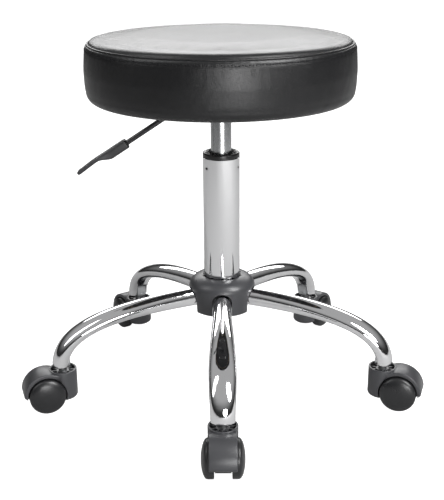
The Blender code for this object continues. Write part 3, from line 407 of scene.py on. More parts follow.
def press_stakes(bm, radius, height):
    """Dent the tube's outer skin where a punch has staked it."""
    for number in range(STAKE_COUNT):
        angle = math.radians(STAKE_ANGLE + 360 / STAKE_COUNT * number)
        middle = Vector((radius * math.cos(angle), radius * math.sin(angle), height))
        for vert in bm.verts:
            reach = (vert.co - middle).length / STAKE_RADIUS
            if reach < 2.5 and vert.co.xy.length > radius - TUBE_WALL / 2:
                dent = STAKE_DEPTH * math.exp(-reach * reach)
                vert.co.xy -= vert.co.xy.normalized() * dent


stake_height = column_high.z - STAKE_DROP
stake_rows = [stake_height + STAKE_ROW_STEP * row for row in range(-STAKE_ROWS, STAKE_ROWS + 1)]
column = turned([
    (ROD_HOLE, column_low.z), (column_foot - FOOT_EDGE, column_low.z),
    (column_foot, column_low.z + FOOT_EDGE),
    (column_foot, taper_low), (column_radius, taper_high), *[(column_radius, row) for row in stake_rows],
    (column_radius, column_high.z - TUBE_EDGE), (column_radius - TUBE_EDGE, column_high.z),
    (column_radius - TUBE_WALL, column_high.z), (column_radius - TUBE_WALL, taper_high),
    (column_foot - TUBE_WALL, taper_low), (column_foot - TUBE_WALL, column_low.z + TUBE_WALL),
    (ROD_HOLE, column_low.z + TUBE_WALL),
], steps=240, ring=True)
press_stakes(column, column_radius, stake_height)
piece("column_tube", column, column_chrome, "base", "chrome", "outer_column")


# Arms
# Five oval steel tubes, each bent once and welded to the hub by its flat root, then chromed. The
# tip is cut open on its inner side, round the socket for the caster's stem.
ARM_COUNT = 5
ARM_SIDES = 48
ARM_STATIONS = 60
ARM_WALL = 0.0016
ARM_ROOT = Vector((0.0311, 0, 0.1375))
ARM_ROOT_HANDLE = Vector((0.1120, 0, -0.0050))
ARM_TIP = Vector((0.2334, 0, 0.0574))
ARM_TIP_HANDLE = Vector((0, 0, 0.0610))
ARM_SECTIONS = ((0.0, 0.0235, 0.0255), (0.62, 0.0350, 0.0205), (1.0, 0.0310, 0.0225))
SWIVEL_RADIUS = 0.231
ARM_TRIM = 0.0052
ARM_EDGE = 0.0004
WINDOW_HALF = 0.0085
WINDOW_HEIGHT = 0.0245
WINDOW_BACK = 0.0045


def soft_step(low, high, share):
    share = min(max(share, 0.0), 1.0)
    return low + (high - low) * (3 - 2 * share) * share * share


def station(point, ahead, depth, width):
    """A ring's place: its own Z runs along the tube, its X up and its Y across."""
    across = Vector((0, 1, 0))
    up = across.cross(ahead) * -1
    turn = Matrix((up, across, ahead)).transposed().to_4x4()
    return Matrix.Translation(point) @ turn @ Matrix.Diagonal((depth, width, 1, 1))


def swept(stations, sides, capped=True, square=1.0):
    """Pull a ring from station to station; square below 1 flattens the ring's sides."""
    bm = bmesh.new()
    bmesh.ops.create_circle(bm, cap_ends=False, radius=1.0, segments=sides)
    for vert in bm.verts:
        vert.co.x = math.copysign(abs(vert.co.x) ** square, vert.co.x)
        vert.co.y = math.copysign(abs(vert.co.y) ** square, vert.co.y)
    bmesh.ops.transform(bm, matrix=stations[0], verts=bm.verts)
    ends = bm.edges[:]
    ring = ends
    for before, after in zip(stations, stations[1:]):
        grown = bmesh.ops.extrude_edge_only(bm, edges=ring)["geom"]
        verts = [item for item in grown if isinstance(item, bmesh.types.BMVert)]
        fresh = set(verts)
        ring = [item for item in grown
                if isinstance(item, bmesh.types.BMEdge) and set(item.verts) <= fresh]
        bmesh.ops.transform(bm, matrix=after @ before.inverted(), verts=verts)
    if capped:
        bmesh.ops.contextual_create(bm, geom=ends)
        bmesh.ops.contextual_create(bm, geom=ring)
    bmesh.ops.recalc_face_normals(bm, faces=bm.faces)
    return bm


def arm_section(share):
    """The tube's half width and half depth: deep at the root, wide and flat over the bend."""
    (_, root_width, root_depth), (bend, width, depth), (_, tip_width, tip_depth) = ARM_SECTIONS
    if share < bend:
        part = share / bend
        return soft_step(root_width, width, part) / 2, soft_step(root_depth, depth, part) / 2
    part = (share - bend) / (1 - bend)
    return soft_step(width, tip_width, part) / 2, soft_step(depth, tip_depth, part) / 2


def arm_place(share):
    """A point of the arm's middle line and the direction there; both ends are square cuts."""
    rest = 1 - share
    first, second = ARM_ROOT + ARM_ROOT_HANDLE, ARM_TIP + ARM_TIP_HANDLE
    point = (rest**3 * ARM_ROOT + 3 * rest**2 * share * first
             + 3 * rest * share**2 * second + share**3 * ARM_TIP)
    ahead = (rest**2 * (first - ARM_ROOT) + 2 * rest * share * (second - first)
             + share**2 * (ARM_TIP - second))
    ahead = Vector((1, 0, 0)) if share == 0 else ahead.normalized()
    return point, ahead


def arm_stations():
    stations = []
    for step in range(ARM_STATIONS):
        share = step / (ARM_STATIONS - 1)
        width, depth = arm_section(share)
        stations.append(station(*arm_place(share), depth, width))
    return stations


def through_modifiers(bm, *steps):
    """Put a bmesh through modifiers, each a kind and its settings, and return the result."""
    mesh = bpy.data.meshes.new("work")
    bm.to_mesh(mesh)
    bm.free()
    item = bpy.data.objects.new("work", mesh)
    bpy.context.scene.collection.objects.link(item)
    for kind, settings in steps:
        modifier = item.modifiers.new(kind, kind)
        for label, value in settings.items():
            setattr(modifier, label, value)
    bpy.context.view_layer.update()
    result = bmesh.new()
    result.from_object(item, bpy.context.evaluated_depsgraph_get())
    bpy.data.objects.remove(item)
    return result


def sliced(bm, point, normal, trim=False):
    """Cut a line round a bmesh along a plane; trim takes away what lies beyond it."""
    bmesh.ops.bisect_plane(
        bm, geom=bm.verts[:] + bm.edges[:] + bm.faces[:], dist=1e-6,
        plane_co=point, plane_no=normal, clear_outer=trim,
    )


def cut_window(bm):
    """Open the tip's inner side: cut lines round the window, then take its faces away."""
    top = ARM_TIP.z + WINDOW_HEIGHT
    sliced(bm, (0, WINDOW_HALF, 0), (0, 1, 0))
    sliced(bm, (0, -WINDOW_HALF, 0), (0, 1, 0))
    sliced(bm, (0, 0, top), (0, 0, 1))
    sliced(bm, (0, 0, ARM_TIP.z + ARM_TRIM), (0, 0, -1), trim=True)
    gone = []
    for face in bm.faces:
        middle = face.calc_center_median()
        if middle.z < top and abs(middle.y) < WINDOW_HALF and middle.x < SWIVEL_RADIUS - WINDOW_BACK:
            gone.append(face)
    bmesh.ops.delete(bm, geom=gone, context="FACES")
    return bm


def arm_frame(number):
    """Where one arm and its caster stand: X runs outwards from the column, from the front round."""
    return Matrix.Translation(CENTRE) @ Matrix.Rotation(math.radians(-90 + 72 * number), 4, "Z")


arm_tube = through_modifiers(
    cut_window(swept(arm_stations(), ARM_SIDES, capped=False)),
    ("SOLIDIFY", {"thickness": ARM_WALL, "offset": -1.0, "use_even_offset": True}),
    ("BEVEL", {"width": ARM_EDGE, "segments": 2, "limit_method": "ANGLE", "angle_limit": math.radians(50)}),
)
for number in range(ARM_COUNT):
    name = f"arm_{number + 1}"
    piece(f"{name}_tube", arm_tube.copy(), chrome, "base", "chrome", name, place=arm_frame(number))


# Stem sockets and stems
# A bright steel sleeve with one flat face is welded inside each arm's tip. The caster's steel stem
# snaps up into it and is held by the ring near its top.
SOCKET_SIDES = 64
SOCKET_RADIUS = 0.0080
SOCKET_HEIGHT = 0.0190
SOCKET_TRIM = 0.0030
SOCKET_FACE_REACH = 0.0098
SOCKET_FACE_HALF = 0.0070
SOCKET_HOLE_RADIUS = 0.0016
SOCKET_HOLE_HEIGHT = 0.0075
SOCKET_FLAT_START = -0.001
SOCKET_EDGE = 0.0006
STEM_RADIUS = 0.0055
STEM_EDGE = 0.0006
STEM_TIP_INSET = 0.0010
STEM_CLEARANCE = 0.0003
# The ring groove's corners: how far below the stem's top, and how deep.
RING_GROOVE = ((0.0080, 0.0), (0.0075, 0.0006), (0.0060, 0.0006), (0.0055, 0.0))


def bar(radius, length, matrix, sides=48):
    """A plain round bar along its place's Z, as a cutter."""
    bm = bmesh.new()
    bmesh.ops.create_cone(
        bm, cap_ends=True, segments=sides, radius1=radius, radius2=radius, depth=length, matrix=matrix,
    )
    return bm


def across_y(x, z, y=0.0):
    return Matrix.Translation((x, y, z)) @ Matrix.Rotation(math.pi / 2, 4, "X")


def carved(bm, joined=(), cut=()):
    """Join solids to a bmesh, then cut others from it."""
    steps, tools = [], []
    for operation, solids in (("UNION", joined), ("DIFFERENCE", cut)):
        for solid in solids:
            mesh = bpy.data.meshes.new("tool")
            solid.to_mesh(mesh)
            solid.free()
            tool = bpy.data.objects.new("tool", mesh)
            bpy.context.scene.collection.objects.link(tool)
            tools.append(tool)
            steps.append(("BOOLEAN", {"operation": operation, "solver": "EXACT", "object": tool}))
    result = through_modifiers(bm, *steps)
    for tool in tools:
        bpy.data.objects.remove(tool)
    bmesh.ops.dissolve_degenerate(result, dist=1e-6, edges=result.edges)
    return result


def socket_solid():
    """A sleeve whose inner half is squared off to a flat face, bored for the stem."""
    height = SOCKET_HEIGHT - SOCKET_TRIM
    middle = Matrix.Translation((0, 0, ARM_TIP.z + SOCKET_TRIM + height / 2))
    bm = bar(SOCKET_RADIUS, height, middle, SOCKET_SIDES)
    for vert in bm.verts:
        if vert.co.x < SOCKET_FLAT_START:
            flat = vert.co.xy.length
            side = max(-vert.co.x / flat / SOCKET_FACE_REACH, abs(vert.co.y) / flat / SOCKET_FACE_HALF)
            vert.co.xy *= 1 / side / flat
    round_edges(bm, SOCKET_EDGE, 45)
    bore = Matrix.Translation((0, 0, ARM_TIP.z + SOCKET_HEIGHT / 2))
    hole = Matrix.Translation((-SOCKET_FACE_REACH, 0, ARM_TIP.z + SOCKET_HOLE_HEIGHT))
    hole = hole @ Matrix.Rotation(math.pi / 2, 4, "Y")
    bores = [bar(STEM_RADIUS + STEM_CLEARANCE, 0.05, bore), bar(SOCKET_HOLE_RADIUS, 0.004, hole, 24)]
    return carved(bm, cut=bores)


stem_low, stem_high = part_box("caster_stem_1")[0].z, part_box("caster_stem_1")[1].z
stem = turned([
    (0, stem_low), (STEM_RADIUS - STEM_EDGE, stem_low), (STEM_RADIUS, stem_low + STEM_EDGE),
    *[(STEM_RADIUS - depth, stem_high - drop) for drop, depth in RING_GROOVE],
    (STEM_RADIUS - STEM_TIP_INSET, stem_high), (0, stem_high),
], steps=40)
socket = socket_solid()
for number in range(ARM_COUNT):
    place = arm_frame(number) @ Matrix.Translation((SWIVEL_RADIUS, 0, 0))
    name = f"stem_socket_{number + 1}"
    piece(f"{name}_sleeve", socket.copy(), zinc, "base", "zinc_steel", name, place=place)
    name = f"caster_stem_{number + 1}"
    piece(f"{name}_pin", stem.copy(), zinc, "base", "zinc_steel", name, place=place)


# Hub cover
# A dark grey moulded dome that slips down the column and clips over the hub. An arched notch lets
# each arm out, and small teeth round its mouth centre it on the column.
GREY_NYLON = (0.040, 0.0405, 0.044)
COVER_WALL = 0.0024
COVER_MOUTH_GAP = 0.0010
COVER_DOME_STEPS = 14
COVER_DOME_START = 8
COVER_SHOULDER = 0.0160
COVER_TOP_GAP = 0.0003
SKIRT_INSET = 0.0028
NOTCH_HALF = 0.01360
NOTCH_TOP = 0.15145
NOTCH_LOW = 0.10
NOTCH_STEPS = 24
NOTCH_REACH = 0.06
TOOTH_COUNT = 10
TOOTH_GAP_HALF = 0.0026
TOOTH_DEPTH = 0.0016


def make_nylon(name, colour, roughness, grain):
    """Moulded plastic with a fine spark-eroded grain."""
    material, tree, shader = new_finish(name, colour, drift=0.10, drift_scale=30)
    vary_gloss(tree, shader, roughness, 0.10, 40)
    speck = use_group(tree, SPECK, Scale=grain)
    add_bump(tree, shader, speck.outputs["Height"], 0.00012, 0.55)
    return material


def cover_dome():
    """The dome's shell, turned: outer skin down, inner skin back up."""
    mouth = column_radius + COVER_MOUTH_GAP
    low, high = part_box("hub_cover")[0].z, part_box("hub_cover")[1].z - COVER_TOP_GAP
    shoulder = high - COVER_SHOULDER
    widest = (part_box("hub_cover")[1].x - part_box("hub_cover")[0].x) / 2
    outer, inner = [], []
    for step in range(COVER_DOME_STEPS + 1):
        angle = math.radians(COVER_DOME_START + (90 - COVER_DOME_START) * step / COVER_DOME_STEPS)
        across, rise = math.sin(angle), math.cos(angle)
        outer.append((mouth + (widest - mouth) * across, shoulder + COVER_SHOULDER * rise))
        inner_height = shoulder - 0.0006 + (COVER_SHOULDER - COVER_WALL) * rise
        inner.append((mouth + (widest - mouth - COVER_WALL) * across, inner_height))
    skirt = widest - SKIRT_INSET
    return turned([
        (mouth, high - 0.0002), *outer, (skirt + 0.0006, (low + shoulder) / 2), (skirt, low + 0.0020),
        (skirt - 0.0008, low), (skirt - COVER_WALL, low), *reversed(inner), (mouth, high - COVER_WALL),
    ], steps=180, ring=True)


def slab(corners, push):
    """A flat outline pulled along a vector into a solid."""
    bm = bmesh.new()
    face = bm.faces.new([bm.verts.new(corner) for corner in corners])
    grown = bmesh.ops.extrude_face_region(bm, geom=[face])["geom"]
    verts = [item for item in grown if isinstance(item, bmesh.types.BMVert)]
    bmesh.ops.translate(bm, verts=verts, vec=push)
    bmesh.ops.recalc_face_normals(bm, faces=bm.faces)
    return bm


def notch_cutter(number):
    """An arched slot, open at the bottom, as wide as an arm's root with room round it."""
    points = [(-NOTCH_HALF, NOTCH_LOW), (NOTCH_HALF, NOTCH_LOW)]
    for step in range(NOTCH_STEPS + 1):
        angle = math.pi * step / NOTCH_STEPS
        points.append((NOTCH_HALF * math.cos(angle), NOTCH_TOP - NOTCH_HALF + NOTCH_HALF * math.sin(angle)))
    bm = slab([(0.0, across, height) for across, height in points], (NOTCH_REACH, 0, 0))
    bmesh.ops.rotate(bm, verts=bm.verts, matrix=Matrix.Rotation(math.radians(-90 + 72 * number), 3, "Z"))
    return bm


def tooth_gap(number):
    """The gap between two teeth of the mouth."""
    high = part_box("hub_cover")[1].z
    bm = bmesh.new()
    reach = column_radius + COVER_MOUTH_GAP + TOOTH_DEPTH
    turn = Matrix.Rotation(math.tau * (number + 0.5) / TOOTH_COUNT, 4, "Z")
    place = turn @ Matrix.Translation((reach / 2, 0, high))
    bmesh.ops.create_cube(bm, size=1.0, matrix=place @ Matrix.Diagonal((reach, 2 * TOOTH_GAP_HALF, 0.02, 1)))
    return bm


nylon = make_nylon("grey_nylon", GREY_NYLON, 0.35, 1400)
notches = [notch_cutter(number) for number in range(ARM_COUNT)]
tooth_gaps = [tooth_gap(number) for number in range(TOOTH_COUNT)]
cover = carved(cover_dome(), cut=notches + tooth_gaps)
round_edges(cover, 0.0003, 50, 1)
piece("hub_cover_dome", cover, nylon, "base", "grey_nylon", "hub_cover")


# Caster hoods and axles
# Each caster's body is one grey nylon moulding: a ribbed cup on the stem, an arched hood over both
# wheels with a slanted tail, and a web between the wheels that holds the steel axle.
CASTER_TRAIL = 0.0247
WHEEL_CENTRE = 0.024786
HOOD_RADIUS = 0.0312
HOOD_CLEAR = 0.0266
HOOD_HALF = 0.0172
WEB_HALF = 0.0098
WEB_DROP = 0.0148
WEB_START = 0.0030
HOOD_ARC = (2, 112)
HOOD_EDGE = 0.0011
AXLE_HOLE = 0.0033
STEM_FIT = 0.0001
STEM_END_GAP = 0.0003
CUP_RADIUS = 0.0190
CUP_WALL = 0.0024
CUP_ROUND = 0.0050
CUP_FLOOR = 0.0450
CUP_DROP = 0.0108
CUP_MOUTH = 0.0030
CUP_LIP = 0.0008
BOSS_RADIUS = 0.0085
RIB_COUNT = 10
RIB_HALF_ANGLE = 4.0


def arc_points(centre, radius, start, end, steps):
    angles = [math.radians(start + (end - start) * step / steps) for step in range(steps + 1)]
    return [(centre[0] + radius * math.cos(angle), centre[1] + radius * math.sin(angle)) for angle in angles]


def cup_solid(low, high):
    return turned([
        (0, low), *arc_points((CUP_RADIUS - CUP_ROUND, low + CUP_ROUND), CUP_ROUND, -90, 0, 8),
        *arc_points((CUP_RADIUS - CUP_LIP, high - CUP_LIP), CUP_LIP, 0, 90, 3), (0, high),
    ], steps=96)


def arch_solid(low, high):
    """The hood and the web as one outline, pulled across and rounded along its edges."""
    wheel = (CASTER_TRAIL, WHEEL_CENTRE)
    outline = arc_points(wheel, HOOD_RADIUS, *HOOD_ARC, 48)
    lip = outline[0]
    web = WHEEL_CENTRE - WEB_DROP
    outline += [
        (WEB_START, high - CUP_ROUND), (WEB_START, low + CUP_ROUND / 2), (0.0100, web),
        (CASTER_TRAIL + 0.0100, web), (lip[0] - 0.0060, lip[1] - 0.0050),
    ]
    bm = slab([(x, -HOOD_HALF, z) for x, z in outline], (0, 2 * HOOD_HALF, 0))
    return round_edges(bm, HOOD_EDGE, 30, 3)


def rib_pocket(number, high):
    """The hollow between two ribs of the cup."""
    bm = bmesh.new()
    step = math.tau / RIB_COUNT
    outer = CUP_RADIUS - CUP_WALL
    corners = ((BOSS_RADIUS, CUP_FLOOR), (outer, CUP_FLOOR), (outer, high), (BOSS_RADIUS, high))
    face = bm.faces.new([bm.verts.new((radius, 0, height)) for radius, height in corners])
    sweep = step - 2 * math.radians(RIB_HALF_ANGLE)
    bmesh.ops.spin(
        bm, geom=[face, *face.edges, *face.verts], cent=(0, 0, 0), axis=(0, 0, 1), angle=sweep, steps=8,
    )
    bmesh.ops.recalc_face_normals(bm, faces=bm.faces)
    bmesh.ops.rotate(bm, verts=bm.verts, matrix=Matrix.Rotation(step * number, 3, "Z"))
    return bm


def hood_solid():
    low, high = WHEEL_CENTRE - CUP_DROP, WHEEL_CENTRE + HOOD_RADIUS
    reach, mouth, bore = 0.0300, 0.0230, 0.0400
    cuts = [
        bar(HOOD_CLEAR, reach, across_y(CASTER_TRAIL, WHEEL_CENTRE, side * (WEB_HALF + reach / 2)), 96)
        for side in (-1, 1)
    ]
    mouth_place = Matrix.Translation((0, 0, high - CUP_MOUTH + mouth / 2))
    cuts.append(bar(CUP_RADIUS - CUP_WALL, mouth, mouth_place, 96))
    cuts += [rib_pocket(number, high) for number in range(RIB_COUNT)]
    bore_place = Matrix.Translation((0, 0, stem_low - STEM_END_GAP + bore / 2))
    cuts.append(bar(STEM_RADIUS + STEM_FIT, bore, bore_place))
    cuts.append(bar(AXLE_HOLE, 0.1, across_y(CASTER_TRAIL, WHEEL_CENTRE)))
    return carved(cup_solid(low, high), joined=[arch_solid(low, high)], cut=cuts)


hood = round_edges(hood_solid(), 0.00035, 60, 1)
for number in range(ARM_COUNT):
    place = arm_frame(number) @ Matrix.Translation((SWIVEL_RADIUS, 0, 0))
    name = f"caster_hood_{number + 1}"
    piece(f"{name}_body", hood.copy(), nylon, f"caster_{number + 1}", "grey_nylon", name, place=place)
repaint(zinc, *[f"axle_{number + 1}" for number in range(ARM_COUNT)])


# Wheels
# Ten moulded nylon wheels pressed on the axle ends: a plain tread, a domed outer face a little
# glossier than the hood, and a recessed inner face with a hub round the blind bore.
WHEEL_RADIUS = 0.02475
WHEEL_INNER = 0.0110
WHEEL_TREAD = 0.0080
WHEEL_DOME = 0.0078
WHEEL_FLAT = 0.0060
WHEEL_BORE = 0.0031
BORE_DEPTH = 0.0090
HUB_RADIUS = 0.0060
RECESS_RADIUS = 0.0205
RECESS_DEPTH = 0.0030
RECESS_DRAFT = 0.0004
TREAD_EDGE = 0.0010
WHEEL_NYLON = (0.011, 0.0112, 0.0122)
DOME_STEPS = 18


def wheel_solid():
    """One wheel about its own Z, its inner face nearest the caster's middle."""
    tread_end = WHEEL_INNER + WHEEL_TREAD
    flat = math.asin(WHEEL_FLAT / WHEEL_RADIUS)
    dome = []
    for step in range(DOME_STEPS + 1):
        angle = math.pi / 2 + (flat - math.pi / 2) * step / DOME_STEPS
        rise = WHEEL_DOME * math.cos(angle) / math.cos(flat)
        dome.append((WHEEL_RADIUS * math.sin(angle), tread_end + rise))
    top = dome[-1][1] + 0.00002
    recess = WHEEL_INNER + RECESS_DEPTH
    return turned([
        (0, WHEEL_INNER + BORE_DEPTH), (WHEEL_BORE, WHEEL_INNER + BORE_DEPTH), (WHEEL_BORE, WHEEL_INNER),
        (HUB_RADIUS, WHEEL_INNER), (HUB_RADIUS + RECESS_DRAFT, recess), (RECESS_RADIUS, recess),
        (RECESS_RADIUS + RECESS_DRAFT, WHEEL_INNER), (WHEEL_RADIUS - TREAD_EDGE, WHEEL_INNER),
        (WHEEL_RADIUS - TREAD_EDGE * 0.3, WHEEL_INNER + TREAD_EDGE * 0.3),
        (WHEEL_RADIUS, WHEEL_INNER + TREAD_EDGE), *dome, (WHEEL_FLAT * 0.5, top), (0, top),
    ], steps=96)


wheel_finish = make_nylon("wheel_nylon", WHEEL_NYLON, 0.30, 2200)
wheel = wheel_solid()
for number in range(ARM_COUNT):
    middle = arm_frame(number) @ Matrix.Translation((SWIVEL_RADIUS + CASTER_TRAIL, 0, WHEEL_CENTRE))
    for side, turn in (("left", 90), ("right", -90)):
        name = f"wheel_{number + 1}_{side}"
        place = middle @ Matrix.Rotation(math.radians(turn), 4, "X")
        piece(f"{name}_disc", wheel.copy(), wheel_finish, name, "wheel_nylon", name, place=place)


# Bearing, piston rod and clip
# What the seat turns on: a thrust bearing and hardened washer in the column's foot, the ground steel
# piston rod that stands on them, and the spring clip that holds it under the column.
SATIN_STEEL = (0.60, 0.61, 0.62)
BLACK_ACETAL = (0.012, 0.012, 0.0125)


def make_satin_steel():
    """Ground and lightly polished tube: fine rings round it and a soft sheen."""
    material, tree, shader = new_finish("satin_steel", SATIN_STEEL, metallic=1.0, drift=0.06, drift_scale=25)
    vary_gloss(tree, shader, 0.26, 0.07, 50)
    place = tree.nodes.new("ShaderNodeTexCoord").outputs["Object"]
    mapping = tree.nodes.new("ShaderNodeMapping")
    mapping.inputs["Scale"].default_value = (1.0, 1.0, 60.0)
    join(tree, (place, mapping.inputs["Vector"]))
    add_bump(tree, shader, noise_node(tree, mapping.outputs["Vector"], 60.0, 2.0), 0.00004, 0.4)
    return material


satin_steel = make_satin_steel()
black_plastic = make_nylon("black_acetal", BLACK_ACETAL, 0.22, 2600)
repaint(zinc, "thrust_bearing", "bearing_washer", "retaining_clip")
repaint(satin_steel, "piston_rod", "valve_pin")
repaint(black_plastic, "piston")


# Guide bush
# A glossy black plastic bush pressed into the column's mouth. Its collar is dished towards the tube
# and stiffened by fine ribs, and it guides the sliding tube.
COLLAR_RIM = 0.0045
COLLAR_DISH = 0.0050
COLLAR_RIBS = 28
COLLAR_RIB_RISE = 0.0007
COLLAR_ROUND = 0.0022
DISH_LIP = 0.0008
DISH_STEPS = 10
bush_low, bush_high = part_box("guide_bush")
tube_low, tube_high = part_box("pressure_tube")
tube_radius = (tube_high.x - tube_low.x) / 2
dish_floor = bush_high.z - COLLAR_DISH
dish_edge = column_radius - COLLAR_RIM
bush_bore = tube_radius + 0.0002
sleeve = column_radius - TUBE_WALL - 0.0003
dish_width, dish_fall = bush_bore + 0.0012 - dish_edge, dish_floor - bush_high.z
dish_rows = [
    (dish_edge + dish_width * step / DISH_STEPS, bush_high.z - DISH_LIP + dish_fall * step / DISH_STEPS)
    for step in range(DISH_STEPS + 1)
]
bush = turned([
    (bush_bore, bush_low.z), (sleeve, bush_low.z), (sleeve, column_high.z + 0.0003),
    (column_radius - 0.0004, column_high.z + 0.0003), (column_radius, column_high.z + 0.0007),
    *arc_points((column_radius - COLLAR_ROUND, bush_high.z - COLLAR_ROUND), COLLAR_ROUND, 0, 90, 6),
    *dish_rows, (bush_bore, dish_floor - 0.0010),
], steps=336, ring=True)
for vert in bush.verts:
    across = vert.co.xy.length
    if bush_bore + 0.0008 < across < dish_edge + 0.0002 and vert.co.z > dish_floor - 0.0009:
        wave = max(math.cos(COLLAR_RIBS * math.atan2(vert.co.y, vert.co.x)), 0.0)
        vert.co.z += COLLAR_RIB_RISE * min(wave * 1.6, 1.0) * min((dish_edge - across) / 0.0012, 1.0)
piece("guide_bush_collar", bush, black_plastic, "base", "black_plastic", "guide_bush")


# Pressure tube
# The gas lift's 28 mm inner tube, ground to a satin finish. It slides through the bush with the
# seat, and its tapered nose wedges into the lift plate's socket.
NOSE_HEIGHT = 0.0100
NOSE_TAPER = 0.0015
NOSE_EDGE = 0.0004
TUBE_FOOT = 0.0080
TUBE_ROOF = 0.0240
ROOF_SLOPE = 0.0020
VALVE_HOLE = 0.0034
tube = turned([
    (ROD_HOLE, tube_low.z), (tube_radius - 0.001, tube_low.z), (tube_radius, tube_low.z + 0.001),
    (tube_radius, tube_high.z - NOSE_HEIGHT), (tube_radius - NOSE_TAPER, tube_high.z - NOSE_EDGE),
    (tube_radius - NOSE_TAPER - NOSE_EDGE, tube_high.z), (VALVE_HOLE, tube_high.z),
    (VALVE_HOLE, tube_high.z - TUBE_ROOF), (tube_radius - TUBE_WALL, tube_high.z - TUBE_ROOF - ROOF_SLOPE),
    (tube_radius - TUBE_WALL, tube_low.z + TUBE_FOOT), (ROD_HOLE, tube_low.z + TUBE_FOOT),
], steps=128, ring=True)
piece("pressure_tube_shaft", tube, satin_steel, "seat", "satin_steel", "pressure_tube", smooth=25)


# Lift plate, taper socket and bolts
# A pressed and black-painted steel plate with a deep pocket: the tube's nose wedges into the ring
# welded in the pocket's floor, and four zinc hex bolts hold the flange to the seat board.
PLATE_CORNER = 0.0120
POCKET_HALF_X = 0.0310
POCKET_HALF_Y = 0.0240
POCKET_WALL = 0.0020
FLANGE_HEIGHT = 0.0025
LEVER_SLOT_HALF = 0.0045
BOLT_HALF_SPACING = 0.0650
BOLT_HOLE = 0.0033
PIN_HOLE = 0.0023
POCKET_ROUND = 0.0050
HOLLOW_ROUND = 0.0035
POCKET_SINK = 0.0010
RING_FIT = 0.0003
BLACK_PAINT = (0.020, 0.020, 0.022)
plate_low, plate_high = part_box("mounting_plate")
plate_half = (plate_high.x - plate_low.x) / 2
ring_low, ring_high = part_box("taper_socket")
ring_radius = (ring_high.x - ring_low.x) / 2
lever_height = (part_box("lever_pin")[0].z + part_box("lever_pin")[1].z) / 2
pivot_x = (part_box("lever_pin")[0].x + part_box("lever_pin")[1].x) / 2


def make_black_paint():
    """Baked black paint over pressed steel, with a faint orange-peel skin."""
    material, tree, shader = new_finish("black_paint", BLACK_PAINT, drift=0.15, drift_scale=22)
    vary_gloss(tree, shader, 0.24, 0.10, 35)
    speck = use_group(tree, SPECK, Scale=650)
    add_bump(tree, shader, speck.outputs["Height"], 0.00010, 0.5)
    shader.inputs["Coat Weight"].default_value = 0.25
    shader.inputs["Coat Roughness"].default_value = 0.12
    return material


def box_solid(low, high):
    bm = bmesh.new()
    size, middle = Vector(high) - Vector(low), (Vector(high) + Vector(low)) / 2
    bmesh.ops.create_cube(bm, size=1.0, matrix=Matrix.Translation(middle) @ Matrix.Diagonal((*size, 1)))
    return bm


def round_uprights(bm, width):
    upright = [edge for edge in bm.edges if abs(edge.verts[0].co.z - edge.verts[1].co.z) > 1e-6]
    bmesh.ops.bevel(
        bm, geom=upright, offset=width, segments=8, profile=0.5, affect="EDGES", material=-1,
    )
    return bm


def centred_box(half_x, half_y, low, high, corner):
    """A box about the column's axis with rounded upright edges."""
    return round_uprights(box_solid((-half_x, -half_y, low), (half_x, half_y, high)), corner)


def plate_solid():
    """The flange and the pocket, cut for the tube's ring, the lever, its pin and the bolts."""
    flange_low = plate_high.z - FLANGE_HEIGHT
    flange = round_edges(centred_box(plate_half, plate_half, flange_low, plate_high.z, PLATE_CORNER), 0.0006)
    pocket = centred_box(
        POCKET_HALF_X, POCKET_HALF_Y, plate_low.z, plate_high.z - POCKET_SINK, POCKET_ROUND)
    pocket = round_edges(pocket, 0.0016, segments=3)
    hollow = centred_box(
        POCKET_HALF_X - POCKET_WALL, POCKET_HALF_Y - POCKET_WALL,
        plate_low.z + POCKET_WALL, plate_high.z + 0.01, HOLLOW_ROUND)
    slot = box_solid(
        (-POCKET_HALF_X - 0.01, -LEVER_SLOT_HALF, plate_low.z + POCKET_WALL + 0.0003),
        (-POCKET_HALF_X + 0.01, LEVER_SLOT_HALF, flange_low - POCKET_WALL),
    )
    cuts = [hollow, slot, bar(ring_radius + RING_FIT, 0.02, Matrix.Translation((0, 0, plate_low.z)), 96)]
    cuts.append(bar(PIN_HOLE, 0.1, across_y(pivot_x, lever_height), 32))
    for x in (-BOLT_HALF_SPACING, BOLT_HALF_SPACING):
        for y in (-BOLT_HALF_SPACING, BOLT_HALF_SPACING):
            cuts.append(bar(BOLT_HOLE, 0.02, Matrix.Translation((x, y, plate_high.z)), 32))
    return carved(flange, joined=[pocket], cut=cuts)


black_paint = make_black_paint()
piece("lift_plate", plate_solid(), black_paint, "seat", "black_paint", "mounting_plate")
ring = turned([
    (tube_radius + RING_FIT, ring_low.z), (ring_radius - 0.0008, ring_low.z),
    (ring_radius, ring_low.z + 0.0008),
    (ring_radius, ring_high.z - 0.0005), (ring_radius - 0.0005, ring_high.z),
    (tube_radius - NOSE_TAPER + 0.0005, ring_high.z), (tube_radius + RING_FIT, tube_high.z - NOSE_HEIGHT),
], steps=96, ring=True)
piece("tube_socket_ring", ring, black_paint, "seat", "black_paint", "taper_socket")


HEAD_HEIGHT = 0.0040
HEAD_RADIUS = 0.0058
SHANK_RADIUS = 0.0030
SHANK_CHAMFER = 0.0008


def bolt_solid(low, high):
    """A hex bolt, head down: a chamfered head and its shank."""
    middle = low + HEAD_HEIGHT / 2
    bm = bar(HEAD_RADIUS, HEAD_HEIGHT, Matrix.Translation((0, 0, middle)), 6)
    round_edges(bm, 0.0005, segments=2)
    shank = turned([
        (0, middle), (SHANK_RADIUS, middle), (SHANK_RADIUS, high - SHANK_CHAMFER),
        (SHANK_RADIUS - SHANK_CHAMFER, high), (0, high),
    ], steps=32)
    return carved(bm, joined=[shank])


